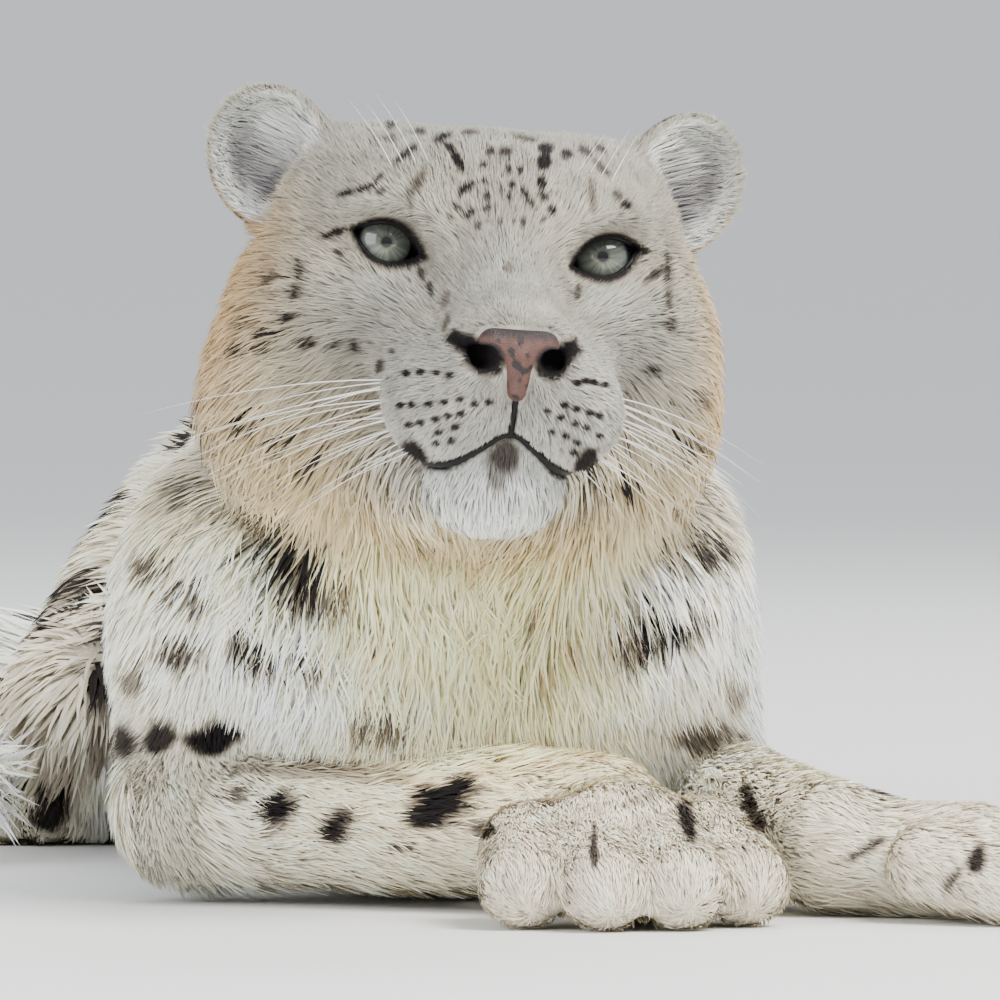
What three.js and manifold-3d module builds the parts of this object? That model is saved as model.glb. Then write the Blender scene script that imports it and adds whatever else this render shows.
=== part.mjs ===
// A snow leopard lying on its belly with its right forearm laid across its chest, life-size.
// Millimetres, Z up. The origin is on the floor under the middle of the trunk.
// The chest faces -Y, the animal's left is +X, and the tail lies round its right side.
import * as THREE from "three";
import { mergeVertices } from "three/addons/utils/BufferGeometryUtils.js";
import Module from "manifold-3d";

const wasm = await Module();
wasm.setup();

const point = (x, y, z) => new THREE.Vector3(x, y, z);
const turned = (degrees) => THREE.MathUtils.degToRad(degrees);

// Driving dimensions
const SEAM = 0.4; // gap between neighbouring pieces
const HEAD_AT = point(24, -425, 259); // midway between the eyes
const HEAD_YAW = 9; // the face looks a little to the animal's left
const HEAD_ROLL = 3.9; // its left side hangs lower
const EYE_RADIUS = 14;
const EYE_AT = point(42.5, 15, 0); // in the head's frame, mirrored for the right eye
const EYE_SLIT = { halfWidth: 14.2, halfHeight: 8, slant: 18 };
const EAR_AT = point(80.5, 68, 29);
const EAR_SIZE = point(27, 19, 30); // half width, depth of the cup, half height
const EAR_THICK = 5;

// How far the solid core stands proud of the skin, by kind of coat
const FACE_COAT = 4;
const LEG_COAT = 8;
const PAW_COAT = 5;
const RUFF_CORE = 11;
const BODY_CORE = 11;
const TAIL_CORE = 10;

// Landmarks of the skeleton
const WITHERS = point(0, -215, 186);
const CHEST = point(0, -228, 108);
const RIBS = point(-2, -90, 114);
const BELLY = point(-8, 80, 104);
const PELVIS = point(-26, 240, 106);
const RUMP = point(-34, 322, 92);
const SHOULDER_RIGHT = point(-72, -280, 128);
const ELBOW_RIGHT = point(-92, -288, 38);
const WRIST_RIGHT = point(62, -372, 34);
const SHOULDER_LEFT = point(70, -275, 128);
const ELBOW_LEFT = point(88, -205, 38);
const WRIST_LEFT = point(156, -376, 27);
const HIP_RIGHT = point(-86, 256, 104);
const KNEE_RIGHT = point(-146, 118, 54);
const HOCK_RIGHT = point(-150, 300, 32);
const TOE_RIGHT = point(-178, 112, 22);
const HIP_LEFT = point(26, 258, 108);
const KNEE_LEFT = point(64, 112, 70);
const HOCK_LEFT = point(70, 296, 32);
const TOE_LEFT = point(96, 104, 22);
const TAIL_PATH = [
  point(-40, 360, 66),
  point(-66, 452, 46),
  point(-150, 522, 40),
  point(-256, 506, 40),
  point(-326, 410, 40),
  point(-340, 290, 40),
  point(-318, 170, 40),
  point(-272, 64, 40),
  point(-214, -22, 38),
];

// A ball is an ellipsoid and a limb a cone with round ends. Each tells how far a point lies outside it.
const ball = (centre, radii, coat = 0, turn = 0) => {
  const cos = Math.cos(turned(turn));
  const sin = Math.sin(turned(turn));
  return (p) => {
    const dx = p.x - centre.x;
    const dz = p.z - centre.z;
    const x = (dx * cos - dz * sin) / radii.x;
    const y = (p.y - centre.y) / radii.y;
    const z = (dx * sin + dz * cos) / radii.z;
    const near = Math.hypot(x, y, z);
    const slope = Math.hypot(x / radii.x, y / radii.y, z / radii.z);
    return slope > 1e-9 ? (near * (near - 1)) / slope - coat : -Math.min(radii.x, radii.z) - coat;
  };
};
const limb = (a, b, radiusA, radiusB, coat = 0) => {
  const along = b.clone().sub(a);
  const lengthSquared = along.lengthSq();
  const offset = point(0, 0, 0);
  return (p) => {
    offset.copy(p).sub(a);
    const t = THREE.MathUtils.clamp(offset.dot(along) / lengthSquared, 0, 1);
    return offset.addScaledVector(along, -t).length() - (radiusA + (radiusB - radiusA) * t) - coat;
  };
};
// Forms melt into one another over about twice the blend.
const melt = (forms, blend) => (p) => {
  let sum = 0;
  for (const form of forms) sum += Math.exp(-form(p) / blend);
  return -blend * Math.log(sum);
};
const carve = (field, hollow, soft) => (p) => {
  const a = field(p);
  const b = -hollow(p);
  const h = Math.max(soft - Math.abs(a - b), 0) / soft;
  return Math.max(a, b) + (h * h * soft) / 4;
};
const slopeOf = (field, p) => {
  const step = 0.5;
  const at = (x, y, z) => field(point(p.x + x, p.y + y, p.z + z));
  return point(
    at(step, 0, 0) - at(-step, 0, 0),
    at(0, step, 0) - at(0, -step, 0),
    at(0, 0, step) - at(0, 0, -step),
  ).normalize();
};

// Where a ray from inside the field leaves it, grown by the given amount
function leaves(field, from, way, grow) {
  const at = (t) => field(from.clone().addScaledVector(way, t)) - grow;
  let inside = 0;
  let outside = 0;
  for (let value = at(0); value < 0; value = at(outside)) {
    inside = outside;
    outside += Math.max(1, -0.6 * value);
  }
  for (let i = 0; i < 18; i += 1) {
    const middle = (inside + outside) / 2;
    if (at(middle) < 0) inside = middle;
    else outside = middle;
  }
  return from.clone().addScaledVector(way, (inside + outside) / 2);
}

// A closed surface from a first point, rings of points and a last point
function closedRings(first, rings, last) {
  const around = rings[0].length;
  const corners = [first, ...rings.flat(), last];
  const ringAt = (row, i) => 1 + row * around + (i % around);
  const end = corners.length - 1;
  const faces = [];
  for (let i = 0; i < around; i += 1) {
    faces.push(0, ringAt(0, i + 1), ringAt(0, i));
    for (let row = 0; row + 1 < rings.length; row += 1) {
      const [a, b, c, d] = [ringAt(row, i), ringAt(row, i + 1), ringAt(row + 1, i), ringAt(row + 1, i + 1)];
      faces.push(a, b, c, b, d, c);
    }
    faces.push(ringAt(rings.length - 1, i), ringAt(rings.length - 1, i + 1), end);
  }
  const geometry = new THREE.BufferGeometry().setFromPoints(corners);
  geometry.setIndex(faces);
  return geometry;
}

function solidOf(geometry) {
  const made = new wasm.Manifold(
    new wasm.Mesh({
      numProp: 3,
      vertProperties: new Float32Array(geometry.getAttribute("position").array),
      triVerts: new Uint32Array(geometry.index.array),
    }),
  );
  if (made.volume() > 0) return made;
  const flipped = geometry.index.array.slice();
  for (let i = 0; i < flipped.length; i += 3) [flipped[i], flipped[i + 1]] = [flipped[i + 1], flipped[i]];
  return solidOf(geometry.clone().setIndex([...flipped]));
}
function merged(geometry) {
  geometry.deleteAttribute("normal");
  geometry.deleteAttribute("uv");
  return mergeVertices(geometry, 1e-3);
}
const largest = (solid) => solid.decompose().reduce((best, s) => (s.volume() > best.volume() ? s : best));

// A surface found by rays from a line: round ends at both tips, rings in between
function tubeSkin(field, path, { around, along, cap = 3, grow = 0 }) {
  const line = new THREE.CatmullRomCurve3(path);
  const frames = line.computeFrenetFrames(along, false);
  const rings = [];
  const ringAt = (step, tip) => {
    const from = line.getPointAt(step / along);
    const ring = [];
    for (let i = 0; i < around; i += 1) {
      const angle = (2 * Math.PI * i) / around;
      const way = frames.normals[step]
        .clone()
        .multiplyScalar(Math.cos(angle) * Math.cos(tip))
        .addScaledVector(frames.binormals[step], Math.sin(angle) * Math.cos(tip))
        .addScaledVector(frames.tangents[step], Math.sin(tip));
      ring.push(leaves(field, from, way, grow));
    }
    return ring;
  };
  for (let i = cap - 1; i > 0; i -= 1) rings.push(ringAt(0, (-Math.PI / 2) * (i / cap)));
  for (let step = 0; step <= along; step += 1) rings.push(ringAt(step, 0));
  for (let i = 1; i < cap; i += 1) rings.push(ringAt(along, (Math.PI / 2) * (i / cap)));
  const first = leaves(field, line.getPointAt(0), frames.tangents[0].clone().negate(), grow);
  const last = leaves(field, line.getPointAt(1), frames.tangents[along], grow);
  return solidOf(closedRings(first, rings, last));
}

// A surface found by rays from one point, its rings closest together round the axis
function burstSkin(field, from, axis, { around, rings, crowd = 1, grow = 0 }) {
  const forward = axis.clone().normalize();
  const side = point(0, 0, 1).cross(forward).normalize();
  const up = forward.clone().cross(side);
  const found = [];
  for (let row = 1; row < rings; row += 1) {
    const lean = Math.PI * (row / rings) ** crowd;
    const ring = [];
    for (let i = 0; i < around; i += 1) {
      const angle = (2 * Math.PI * i) / around;
      const way = forward
        .clone()
        .multiplyScalar(Math.cos(lean))
        .addScaledVector(side, Math.sin(lean) * Math.cos(angle))
        .addScaledVector(up, Math.sin(lean) * Math.sin(angle));
      ring.push(leaves(field, from, way, grow));
    }
    found.push(ring);
  }
  const nearest = leaves(field, from, forward, grow);
  const farthest = leaves(field, from, forward.clone().negate(), grow);
  return solidOf(closedRings(nearest, found, farthest));
}

// The head, in its own frame: x to the animal's left, -y forward, z up, from midway between the eyes
const headPlace = new THREE.Matrix4()
  .makeRotationFromEuler(new THREE.Euler(0, turned(HEAD_ROLL), turned(HEAD_YAW), "ZXY"))
  .setPosition(HEAD_AT);
const headBack = headPlace.clone().invert();
const inHead = (p) => p.clone().applyMatrix4(headPlace);
const mirrored = (p, side) => point(p.x * side, p.y, p.z);

const sideForms = [1, -1].flatMap((side) => [
  ball(mirrored(point(34, 7, 15), side), point(21, 15, 10), FACE_COAT), // brow
  ball(mirrored(point(46, 52, 15), side), point(30, 36, 26), 5), // side of the crown
  ball(mirrored(point(20, -42, -61), side), point(23, 25, 18), FACE_COAT), // whisker pad
  // side of the muzzle
  limb(mirrored(point(30, 8, -34), side), mirrored(point(20, -34, -54), side), 19, 17, FACE_COAT),
  ball(mirrored(point(50, 20, -22), side), point(25, 22, 19), FACE_COAT), // cheekbone
  ball(mirrored(point(54, 52, -36), side), point(36, 44, 42), 8), // cheek
  ball(mirrored(point(56, 70, -62), side), point(36, 40, 34), RUFF_CORE), // ruff
]);
const faceForms = [
  ball(point(0, 62, -2), point(72, 66, 44), 7), // cranium
  ball(point(0, 26, 8), point(58, 36, 33), 5), // forehead
  limb(point(0, 8, -8), point(0, -46, -37), 23, 18, 3), // bridge of the nose
  ball(point(0, -54, -41), point(22, 16, 14), 2), // tip of the nose
  ball(point(0, -32, -88), point(23, 23, 16), 6), // chin
  ball(point(0, 30, -80), point(44, 50, 26), 8), // jaw and throat
  ...sideForms,
];
const plainHead = melt(faceForms, 6);
const withSockets = [1, -1].reduce(
  (field, side) => carve(field, ball(mirrored(point(43, -10, 0), side), point(19, 15, 12), 0, side * 15), 6),
  plainHead,
);
const lidRadii = point(1, 1, 1).multiplyScalar(EYE_RADIUS + 2.4);
const lidForms = [1, -1].map((side) => ball(mirrored(EYE_AT, side), lidRadii));
const headForm = melt([withSockets, ...lidForms], 1.6);
const headField = (p) => headForm(p.clone().applyMatrix4(headBack));
const HEAD_CORE = point(0, 34, -32);
const HEAD_AXIS = point(0, -1, -0.12);

// The almond between the lids, swept forward from the middle of the eye
function eyeSlit(side) {
  const { halfWidth: w, halfHeight: h, slant } = EYE_SLIT;
  const outline = new THREE.Shape();
  outline.moveTo(-w, 0);
  outline.bezierCurveTo(-w * 0.6, h * 1.25, w * 0.5, h * 1.45, w, 0);
  outline.bezierCurveTo(w * 0.55, -h * 1.3, -w * 0.55, -h * 1.25, -w, 0);
  const swept = new THREE.ExtrudeGeometry(outline, { depth: 40, bevelEnabled: false, curveSegments: 5 });
  // The outer corner is raised.
  swept.rotateZ(turned(side * slant)).rotateX(turned(90));
  const at = mirrored(EYE_AT, side);
  return solidOf(merged(swept.translate(at.x, at.y - 2, at.z).applyMatrix4(headPlace)));
}
const eyeball = (side, grow) => {
  const round = new THREE.SphereGeometry(EYE_RADIUS + grow, 14, 8);
  const at = mirrored(EYE_AT, side);
  return solidOf(merged(round.translate(at.x, at.y, at.z).applyMatrix4(headPlace)));
};

// A groove follows points on the head's surface.
function groove(stops, radius, steps) {
  const line = new THREE.CatmullRomCurve3(stops);
  const onSkin = line.getPoints(steps).map((p) => {
    const from = inHead(HEAD_CORE);
    return leaves(headField, from, inHead(p).sub(from).normalize(), 0);
  });
  const round = new THREE.Shape().absarc(0, 0, radius, 0, 2 * Math.PI);
  const way = new THREE.CatmullRomCurve3(onSkin);
  const swept = new THREE.ExtrudeGeometry(round, { steps, curveSegments: 3, extrudePath: way });
  return solidOf(merged(swept));
}
const MOUTH_CORNER = point(35, -22, -80);
const MOUTH_MIDDLE = point(0, -62, -70);
const mouthLine = [
  mirrored(MOUTH_CORNER, -1),
  point(-20, -52, -82),
  point(-7, -60, -72),
  MOUTH_MIDDLE,
  point(7, -60, -72),
  point(20, -52, -82),
  MOUTH_CORNER,
];
const philtrum = [point(0, -70, -56), point(0, -68, -62), MOUTH_MIDDLE];

// The bare pad of the nose, broad above and narrow below
const nosePadForm = melt(
  [
    limb(point(-10.5, -66, -35), point(10.5, -66, -35), 6, 6),
    limb(point(0, -69, -39), point(0, -70, -53), 7.5, 4),
  ],
  2,
);
const nosePadField = (p) => nosePadForm(p.clone().applyMatrix4(headBack));
const nostril = (side) => {
  const way = new THREE.CatmullRomCurve3(
    [point(10, -84, -42.5), point(12.5, -70, -41), point(18, -57, -38)].map((p) => inHead(mirrored(p, side))),
  );
  const hole = new THREE.Shape().absellipse(0, 0, 4.8, 4, 0, 2 * Math.PI);
  return solidOf(merged(new THREE.ExtrudeGeometry(hole, { steps: 2, curveSegments: 3, extrudePath: way })));
};

// A flat, tapered lock of hair. It leaves the surface, arches over and comes back towards it at the tip.
function lock({ root, out, way, length, width, thick, lift, sink = 7 }, grow = 0) {
  const side = out.clone().cross(way).normalize();
  const rings = [];
  const segments = 4;
  for (let i = 0; i < segments; i += 1) {
    const t = i / segments;
    const height = -sink + (lift + sink) * Math.sin((t * Math.PI) / 1.5);
    const middle = root
      .clone()
      .addScaledVector(way, (t - 0.12) * length)
      .addScaledVector(out, height);
    // Thin edges need a wider twin, and a fourth corner keeps its underside clear.
    const half = (width / 2) * Math.sqrt(1 - t) * (0.75 + 0.6 * t) + 6 * grow;
    const ridge = thick * (1 - 0.7 * t);
    const corner = (across, up) => middle.clone().addScaledVector(side, across).addScaledVector(out, up);
    const ring = [corner(half, -0.4 * ridge), corner(0, ridge + 1.8 * grow), corner(-half, -0.4 * ridge)];
    if (grow) ring.push(corner(0, -0.4 * ridge - 2.2 * grow));
    rings.push(ring);
  }
  const first = root
    .clone()
    .addScaledVector(way, -0.12 * length - 1 - 3 * grow)
    .addScaledVector(out, -sink);
  const last = root
    .clone()
    .addScaledVector(way, 0.88 * length + 3 * grow)
    .addScaledVector(out, lift * 0.8);
  return solidOf(closedRings(first, rings, last));
}

// Seeded draws, so that every build is the same
function draws(seed) {
  let state = seed;
  return () => {
    state = (Math.imul(state, 1664525) + 1013904223) >>> 0;
    return state / 4294967296;
  };
}

const FLOOR = solidOf(merged(new THREE.BoxGeometry(2000, 2000, 400).translate(0, 0, -200)));
const onFloor = (solid) => solid.subtract(FLOOR);
const joined = (first, others) => (others.length ? wasm.Manifold.union([first, ...others]) : first);

// Locks in staggered rows over a tube-like piece. Each lies along the line of the piece.
function tubeLocks(field, path, rows, each, size, seed, keep = () => true) {
  const line = new THREE.CatmullRomCurve3(path);
  const draw = draws(seed);
  const made = [];
  for (let row = 0; row < rows; row += 1) {
    const share = (row + 0.5) / rows;
    const tangent = line.getTangentAt(share);
    const level = point(0, 0, 1).cross(tangent).normalize();
    const up = tangent.clone().cross(level);
    for (let i = 0; i < each; i += 1) {
      const angle = (2 * Math.PI * (i + (row % 2) / 2 + 0.25 * (draw() - 0.5))) / each;
      const ray = level.clone().multiplyScalar(Math.cos(angle)).addScaledVector(up, Math.sin(angle));
      const place = line.getPointAt(THREE.MathUtils.clamp(share + (0.3 * (draw() - 0.5)) / rows, 0, 1));
      const root = leaves(field, place, ray, 0);
      const out = slopeOf(field, root);
      const way = tangent.clone().addScaledVector(out, -tangent.dot(out)).normalize();
      const scale = 0.85 + 0.3 * draw();
      const spec = { root, out, way, ...size, length: size.length * scale, width: size.width * scale };
      if (keep(spec)) made.push(spec);
    }
  }
  return made;
}
const clearOfFloor = ({ root, out }) => root.z > 16 && out.z > -0.35;

// Each builder gives the piece, or its twin grown by the seam for cutting its neighbours.
const withLocks = (core, specs, grow) => joined(core, specs.map((s) => lock(s, grow)));

// The ruff: rows of locks down each cheek and under the jaw
const ruffLocks = [1, -1].flatMap((side) => {
  const draw = draws(side > 0 ? 11 : 29);
  const made = [];
  for (let row = 0; row < 3; row += 1) {
    const each = 4 + row;
    for (let i = 0; i < each; i += 1) {
      const down = (i + 0.5 * (row % 2) + 0.3 * draw()) / each;
      const angle = turned(12 - 112 * down);
      const back = 0.28 + 0.36 * row;
      const ray = point(side * Math.cos(angle), back, Math.sin(angle)).normalize();
      const from = inHead(HEAD_CORE);
      const way0 = point(side * (0.7 - 0.35 * down), 0.9, -0.35 - 0.7 * down);
      const spin = new THREE.Matrix4().extractRotation(headPlace);
      const root = leaves(headField, from, ray.applyMatrix4(spin), 0);
      const out = slopeOf(headField, root);
      const along = way0.applyMatrix4(spin);
      const way = along.addScaledVector(out, -along.dot(out)).normalize();
      made.push({ root, out, way, length: 46 + 10 * draw(), width: 28, thick: 3.2, lift: 10 });
    }
  }
  return made;
});

// The head ends at a slanting cut behind the ears and the jaw.
const NAPE = { through: point(0, 100, 30), facing: point(0, -0.82, 0.574) };
const CHEST_CUT = { through: point(0, -262, 150), facing: point(0, -0.97, 0.24) };
function cutAt(solid, { through, facing }, side) {
  const normal = facing.clone().normalize().multiplyScalar(side);
  return solid.trimByPlane(normal.toArray(), normal.dot(through) + SEAM / 2);
}
const napeFacing = NAPE.facing.clone().transformDirection(headPlace);
const napeInWorld = { through: inHead(NAPE.through), facing: napeFacing };
const onHead = ({ root }) => root.clone().sub(napeInWorld.through).dot(napeInWorld.facing) > 0;
function headSolid(grow) {
  const whole = burstSkin(headField, inHead(HEAD_CORE), HEAD_AXIS.clone().transformDirection(headPlace), {
    around: 38,
    rings: 25,
    crowd: 1.2,
    grow,
  });
  return withLocks(cutAt(whole, napeInWorld, 1), ruffLocks.filter(onHead), grow);
}
const noseSolid = (grow) =>
  burstSkin(nosePadField, inHead(point(0, -66, -39)), point(0, -1, 0).transformDirection(headPlace), {
    around: 12,
    rings: 7,
    grow,
  });

// A cup: the back half of a squashed ball is the outside of the ear, and its front half is pushed in.
function earSolid(side) {
  const cup = new THREE.SphereGeometry(1, 14, 10);
  const places = cup.getAttribute("position");
  for (let i = 0; i < places.count; i += 1) {
    const p = new THREE.Vector3().fromBufferAttribute(places, i);
    const inner = p.y < 0;
    const depth = Math.abs(p.y);
    const shrink = inner ? 1 - (EAR_THICK / EAR_SIZE.x) * Math.sqrt(depth) : 1;
    const y = inner ? EAR_SIZE.y * depth - EAR_THICK * Math.sqrt(depth) : EAR_SIZE.y * depth;
    places.setXYZ(i, p.x * EAR_SIZE.x * shrink, y, p.z * EAR_SIZE.z * shrink);
  }
  cup.rotateX(turned(8)).rotateY(turned(side * 14)).rotateZ(turned(side * 24));
  const at = mirrored(EAR_AT, side);
  return solidOf(merged(cup.translate(at.x, at.y, at.z).applyMatrix4(headPlace)));
}

// The trunk, the neck and the upper legs share one skin, which thin cuts divide.
const NECK_TOP = point(16, -348, 214);
const NECK_BASE = point(0, -225, 150);
const neckForms = [
  limb(NECK_BASE, NECK_TOP, 84, 62, RUFF_CORE),
  limb(point(2, -268, 122), point(16, -356, 178), 72, 50, RUFF_CORE),
  ball(point(0, -290, 104), point(84, 52, 84), RUFF_CORE),
];
const trunkForms = [
  ball(CHEST, point(94, 96, 108), BODY_CORE),
  ball(WITHERS, point(44, 84, 40), BODY_CORE),
  ball(RIBS, point(100, 180, 110), BODY_CORE),
  ball(BELLY, point(104, 180, 104), BODY_CORE),
  ball(PELVIS, point(86, 118, 98), BODY_CORE),
  ball(RUMP, point(62, 66, 76), BODY_CORE),
];
const upperLegForms = [
  limb(SHOULDER_RIGHT, ELBOW_RIGHT, 42, 27, BODY_CORE),
  limb(SHOULDER_LEFT, ELBOW_LEFT, 44, 34, BODY_CORE),
  ball(point(-84, -258, 106), point(38, 48, 56), BODY_CORE),
  ball(point(78, -256, 102), point(35, 48, 58), BODY_CORE),
  limb(HIP_RIGHT, KNEE_RIGHT, 60, 34, LEG_COAT),
  limb(HIP_LEFT, KNEE_LEFT, 62, 42, LEG_COAT),
  ball(point(-112, 200, 74), point(44, 84, 58), LEG_COAT),
  ball(point(44, 196, 84), point(44, 84, 62), LEG_COAT),
];
const headInBody = (p) => melt(faceForms, 6)(p.clone().applyMatrix4(headBack));
const bodyField = melt([...trunkForms, ...neckForms, ...upperLegForms, headInBody], 8);

const neckPath = [point(20, -396, 214), point(12, -330, 172), point(2, -285, 132), point(0, -258, 96)];
const neckLocks = tubeLocks(
  bodyField,
  neckPath,
  4,
  9,
  { length: 66, width: 42, thick: 4.5, lift: 12 },
  5,
  (s) => s.root.z > 30 && s.root.y < -245,
);
const neckSolid = (grow) => {
  const whole = tubeSkin(bodyField, neckPath, { around: 20, along: 5, cap: 3, grow });
  const headless = cutAt(whole, napeInWorld, -1);
  const ownLocks = [...neckLocks, ...ruffLocks.filter((spec) => !onHead(spec))];
  return withLocks(cutAt(headless, CHEST_CUT, 1), ownLocks, grow);
};
const trunkPath = [point(0, -250, 108), point(-2, -90, 108), point(-10, 90, 100), point(-32, 310, 92)];
const trunkLocks = tubeLocks(
  bodyField,
  trunkPath,
  5,
  9,
  { length: 112, width: 54, thick: 5, lift: 12 },
  17,
  (s) => clearOfFloor(s) && s.root.y > -215,
);
// The tail, in four lengths
const tailLine = new THREE.CatmullRomCurve3(TAIL_PATH);
const TAIL_STOPS = [0, 0.25, 0.5, 0.75, 1];
const tailRadius = (t) => 30 - 6 * t;
function tailPiece(index) {
  const [start, end] = [TAIL_STOPS[index], TAIL_STOPS[index + 1]];
  const steps = 4;
  const stops = Array.from({ length: steps + 1 }, (_, i) => start + ((end - start) * i) / steps);
  const path = stops.map((t) => tailLine.getPointAt(t));
  const forms = [];
  for (let i = 0; i < steps; i += 1)
    forms.push(limb(path[i], path[i + 1], tailRadius(stops[i]), tailRadius(stops[i + 1]), TAIL_CORE));
  const field = melt(forms, 3);
  const locks = tubeLocks(
    field,
    path,
    3,
    4,
    { length: 84, width: 44, thick: 4.5, lift: 10 },
    41 + index,
    (s) => s.root.z > 26 && s.out.z > -0.2,
  );
  return (grow) => withLocks(tubeSkin(field, path, { around: 12, along: 5, cap: 3, grow }), locks, grow);
}

// Lower legs and feet
const lowerLeg = (top, joint, radiusTop, radiusJoint, coat) => {
  const field = limb(top, joint, radiusTop, radiusJoint, coat);
  return (grow) => tubeSkin(field, [top, joint], { around: 10, along: 3, cap: 2, grow });
};
// A paw is a broad pad with four toes side by side, each with its knuckle.
function paw({ wrist, heading, length, width, height, rings = 11, around = 16 }) {
  const way = point(Math.cos(turned(heading)), Math.sin(turned(heading)), 0);
  const across = point(-way.y, way.x, 0);
  const at = (forward, side, z) =>
    point(wrist.x, wrist.y, z).addScaledVector(way, forward).addScaledVector(across, side);
  const heel = at(0, 0, height * 0.52);
  const ballOfFoot = at(length * 0.45, 0, height * 0.46);
  const forms = [limb(heel, ballOfFoot, height * 0.46, height * 0.5, PAW_COAT)];
  const toeShare = [-0.37, -0.13, 0.13, 0.37];
  const reach = [0.84, 1, 1, 0.84];
  toeShare.forEach((share, i) => {
    const side = share * width;
    const radius = width * 0.15;
    const knuckle = at(length * 0.5 * reach[i], side * 0.92, height * 0.52);
    const tip = at(length * reach[i] - radius, side * 1.12, radius * 1.05);
    forms.push(limb(knuckle, tip, radius * 1.1, radius, PAW_COAT));
  });
  const field = melt(forms, 3.2);
  const middle = at(length * 0.5, 0, height * 0.4);
  return (grow) => burstSkin(field, middle, way, { around, rings, crowd: 0.9, grow });
}

const FORE_PAW = { length: 118, width: 92, height: 55 };
const HIND_PAW = { length: 96, width: 76, height: 42 };

// Upper legs are taken out of the body's skin by egg-shaped cuts.
const upperLegCuts = {
  upper_arm_right: [point(-92, -248, 84), point(48, 70, 84)],
  upper_arm_left: [point(86, -242, 84), point(48, 70, 84)],
  thigh_right: [point(-132, 186, 70), point(86, 126, 104)],
  thigh_left: [point(80, 182, 76), point(66, 124, 104)],
};
const egg = ([at, radii], grow) => {
  const round = new THREE.SphereGeometry(1, 12, 8);
  round.scale(radii.x + grow, radii.y + grow, radii.z + grow);
  return solidOf(merged(round.translate(at.x, at.y, at.z)));
};
const trunkWhole = tubeSkin(bodyField, trunkPath, { around: 24, along: 13, cap: 3 });
function hindFoot(hock, toe, heading) {
  const instep = toe.clone().lerp(hock, 0.4);
  const sole = lowerLeg(hock, instep, 19, 17, 6);
  const toes = paw({ wrist: instep, heading, ...HIND_PAW });
  return (grow) => sole(grow).add(toes(grow));
}

// Every piece in turn gives way to those before it.
const twins = {
  forepaw_right: paw({ wrist: WRIST_RIGHT, heading: -80, ...FORE_PAW, width: 104 }),
  forepaw_left: paw({ wrist: WRIST_LEFT, heading: -22, ...FORE_PAW, height: 44 }),
  hindpaw_right: hindFoot(HOCK_RIGHT, TOE_RIGHT, -98),
  hindpaw_left: hindFoot(HOCK_LEFT, TOE_LEFT, -82),
  forearm_right: lowerLeg(ELBOW_RIGHT, WRIST_RIGHT, 30, 25, LEG_COAT),
  forearm_left: lowerLeg(ELBOW_LEFT, WRIST_LEFT, 29, 21, LEG_COAT),
  shank_right: lowerLeg(KNEE_RIGHT, HOCK_RIGHT, 30, 19, LEG_COAT),
  shank_left: lowerLeg(KNEE_LEFT, HOCK_LEFT, 34, 19, LEG_COAT),
  tail_1: tailPiece(0),
  tail_2: tailPiece(1),
  tail_3: tailPiece(2),
  tail_4: tailPiece(3),
  head: headSolid,
  neck: neckSolid,
};
const boxesTouch = (a, b) => {
  const [p, q] = [a.boundingBox(), b.boundingBox()];
  return [0, 1, 2].every((i) => p.min[i] < q.max[i] && q.min[i] < p.max[i]);
};
const cutBy = (solid, cutters) =>
  cutters.filter((other) => boxesTouch(solid, other)).reduce((rest, other) => rest.subtract(other), solid);

const nostrils = joined(nostril(1), [nostril(-1)]);
const mouth = joined(groove(mouthLine, 1.5, 16), [groove(philtrum, 1.1, 4)]);
const sockets = joined(eyeball(1, SEAM), [eyeball(-1, SEAM), eyeSlit(1), eyeSlit(-1)]);
const made = {};
const cutters = Object.entries(upperLegCuts).map(([, shape]) => egg(shape, SEAM));
for (const [name, build] of Object.entries(twins)) {
  let solid = cutBy(build(0), cutters.slice(name === "neck" ? 0 : cutters.length));
  const before = Object.keys(twins).slice(0, Object.keys(twins).indexOf(name));
  solid = cutBy(solid, before.map((other) => twins[other](SEAM)));
  made[name] = onFloor(solid);
}
made.head = made.head.subtract(sockets).subtract(mouth).subtract(noseSolid(SEAM)).subtract(nostrils);
made.nose = noseSolid(0).subtract(nostrils);
made.eye_right = eyeball(-1, 0);
made.eye_left = eyeball(1, 0);
made.ear_right = earSolid(-1).subtract(headSolid(SEAM));
made.ear_left = earSolid(1).subtract(headSolid(SEAM));

const grown = Object.values(twins).map((build) => build(SEAM));
for (const [name, shape] of Object.entries(upperLegCuts))
  made[name] = onFloor(cutBy(trunkWhole.intersect(egg(shape, 0)), grown));
const trunk = withLocks(cutAt(trunkWhole, CHEST_CUT, -1), trunkLocks, 0);
made.trunk = onFloor(cutBy(trunk, [...cutters, ...grown]));

const finishes = {
  eye: { color: 0x8d9a8c, roughness: 0.1 },
  nose: { color: 0x9a6a5c, roughness: 0.6 },
  ear: { color: 0xb9b4a6, roughness: 0.9 },
  coat: { color: 0xd8d0bf, roughness: 0.95 },
};
const finishOf = (name) => finishes[name.split("_")[0]] ?? finishes.coat;

const leopard = new THREE.Group();
for (const [name, solid] of Object.entries(made)) {
  const { vertProperties, triVerts } = largest(solid).getMesh();
  const geometry = new THREE.BufferGeometry()
    .setAttribute("position", new THREE.BufferAttribute(new Float32Array(vertProperties), 3))
    .setIndex(new THREE.BufferAttribute(new Uint32Array(triVerts), 1));
  const mesh = new THREE.Mesh(geometry, new THREE.MeshStandardMaterial({ metalness: 0, ...finishOf(name) }));
  mesh.name = name;
  leopard.add(mesh);
}

export default leopard;
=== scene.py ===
"""A snow leopard lying on its belly: skin, coat, eyes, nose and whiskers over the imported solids."""

import math

import bpy
import numpy as np
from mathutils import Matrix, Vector, kdtree


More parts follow.
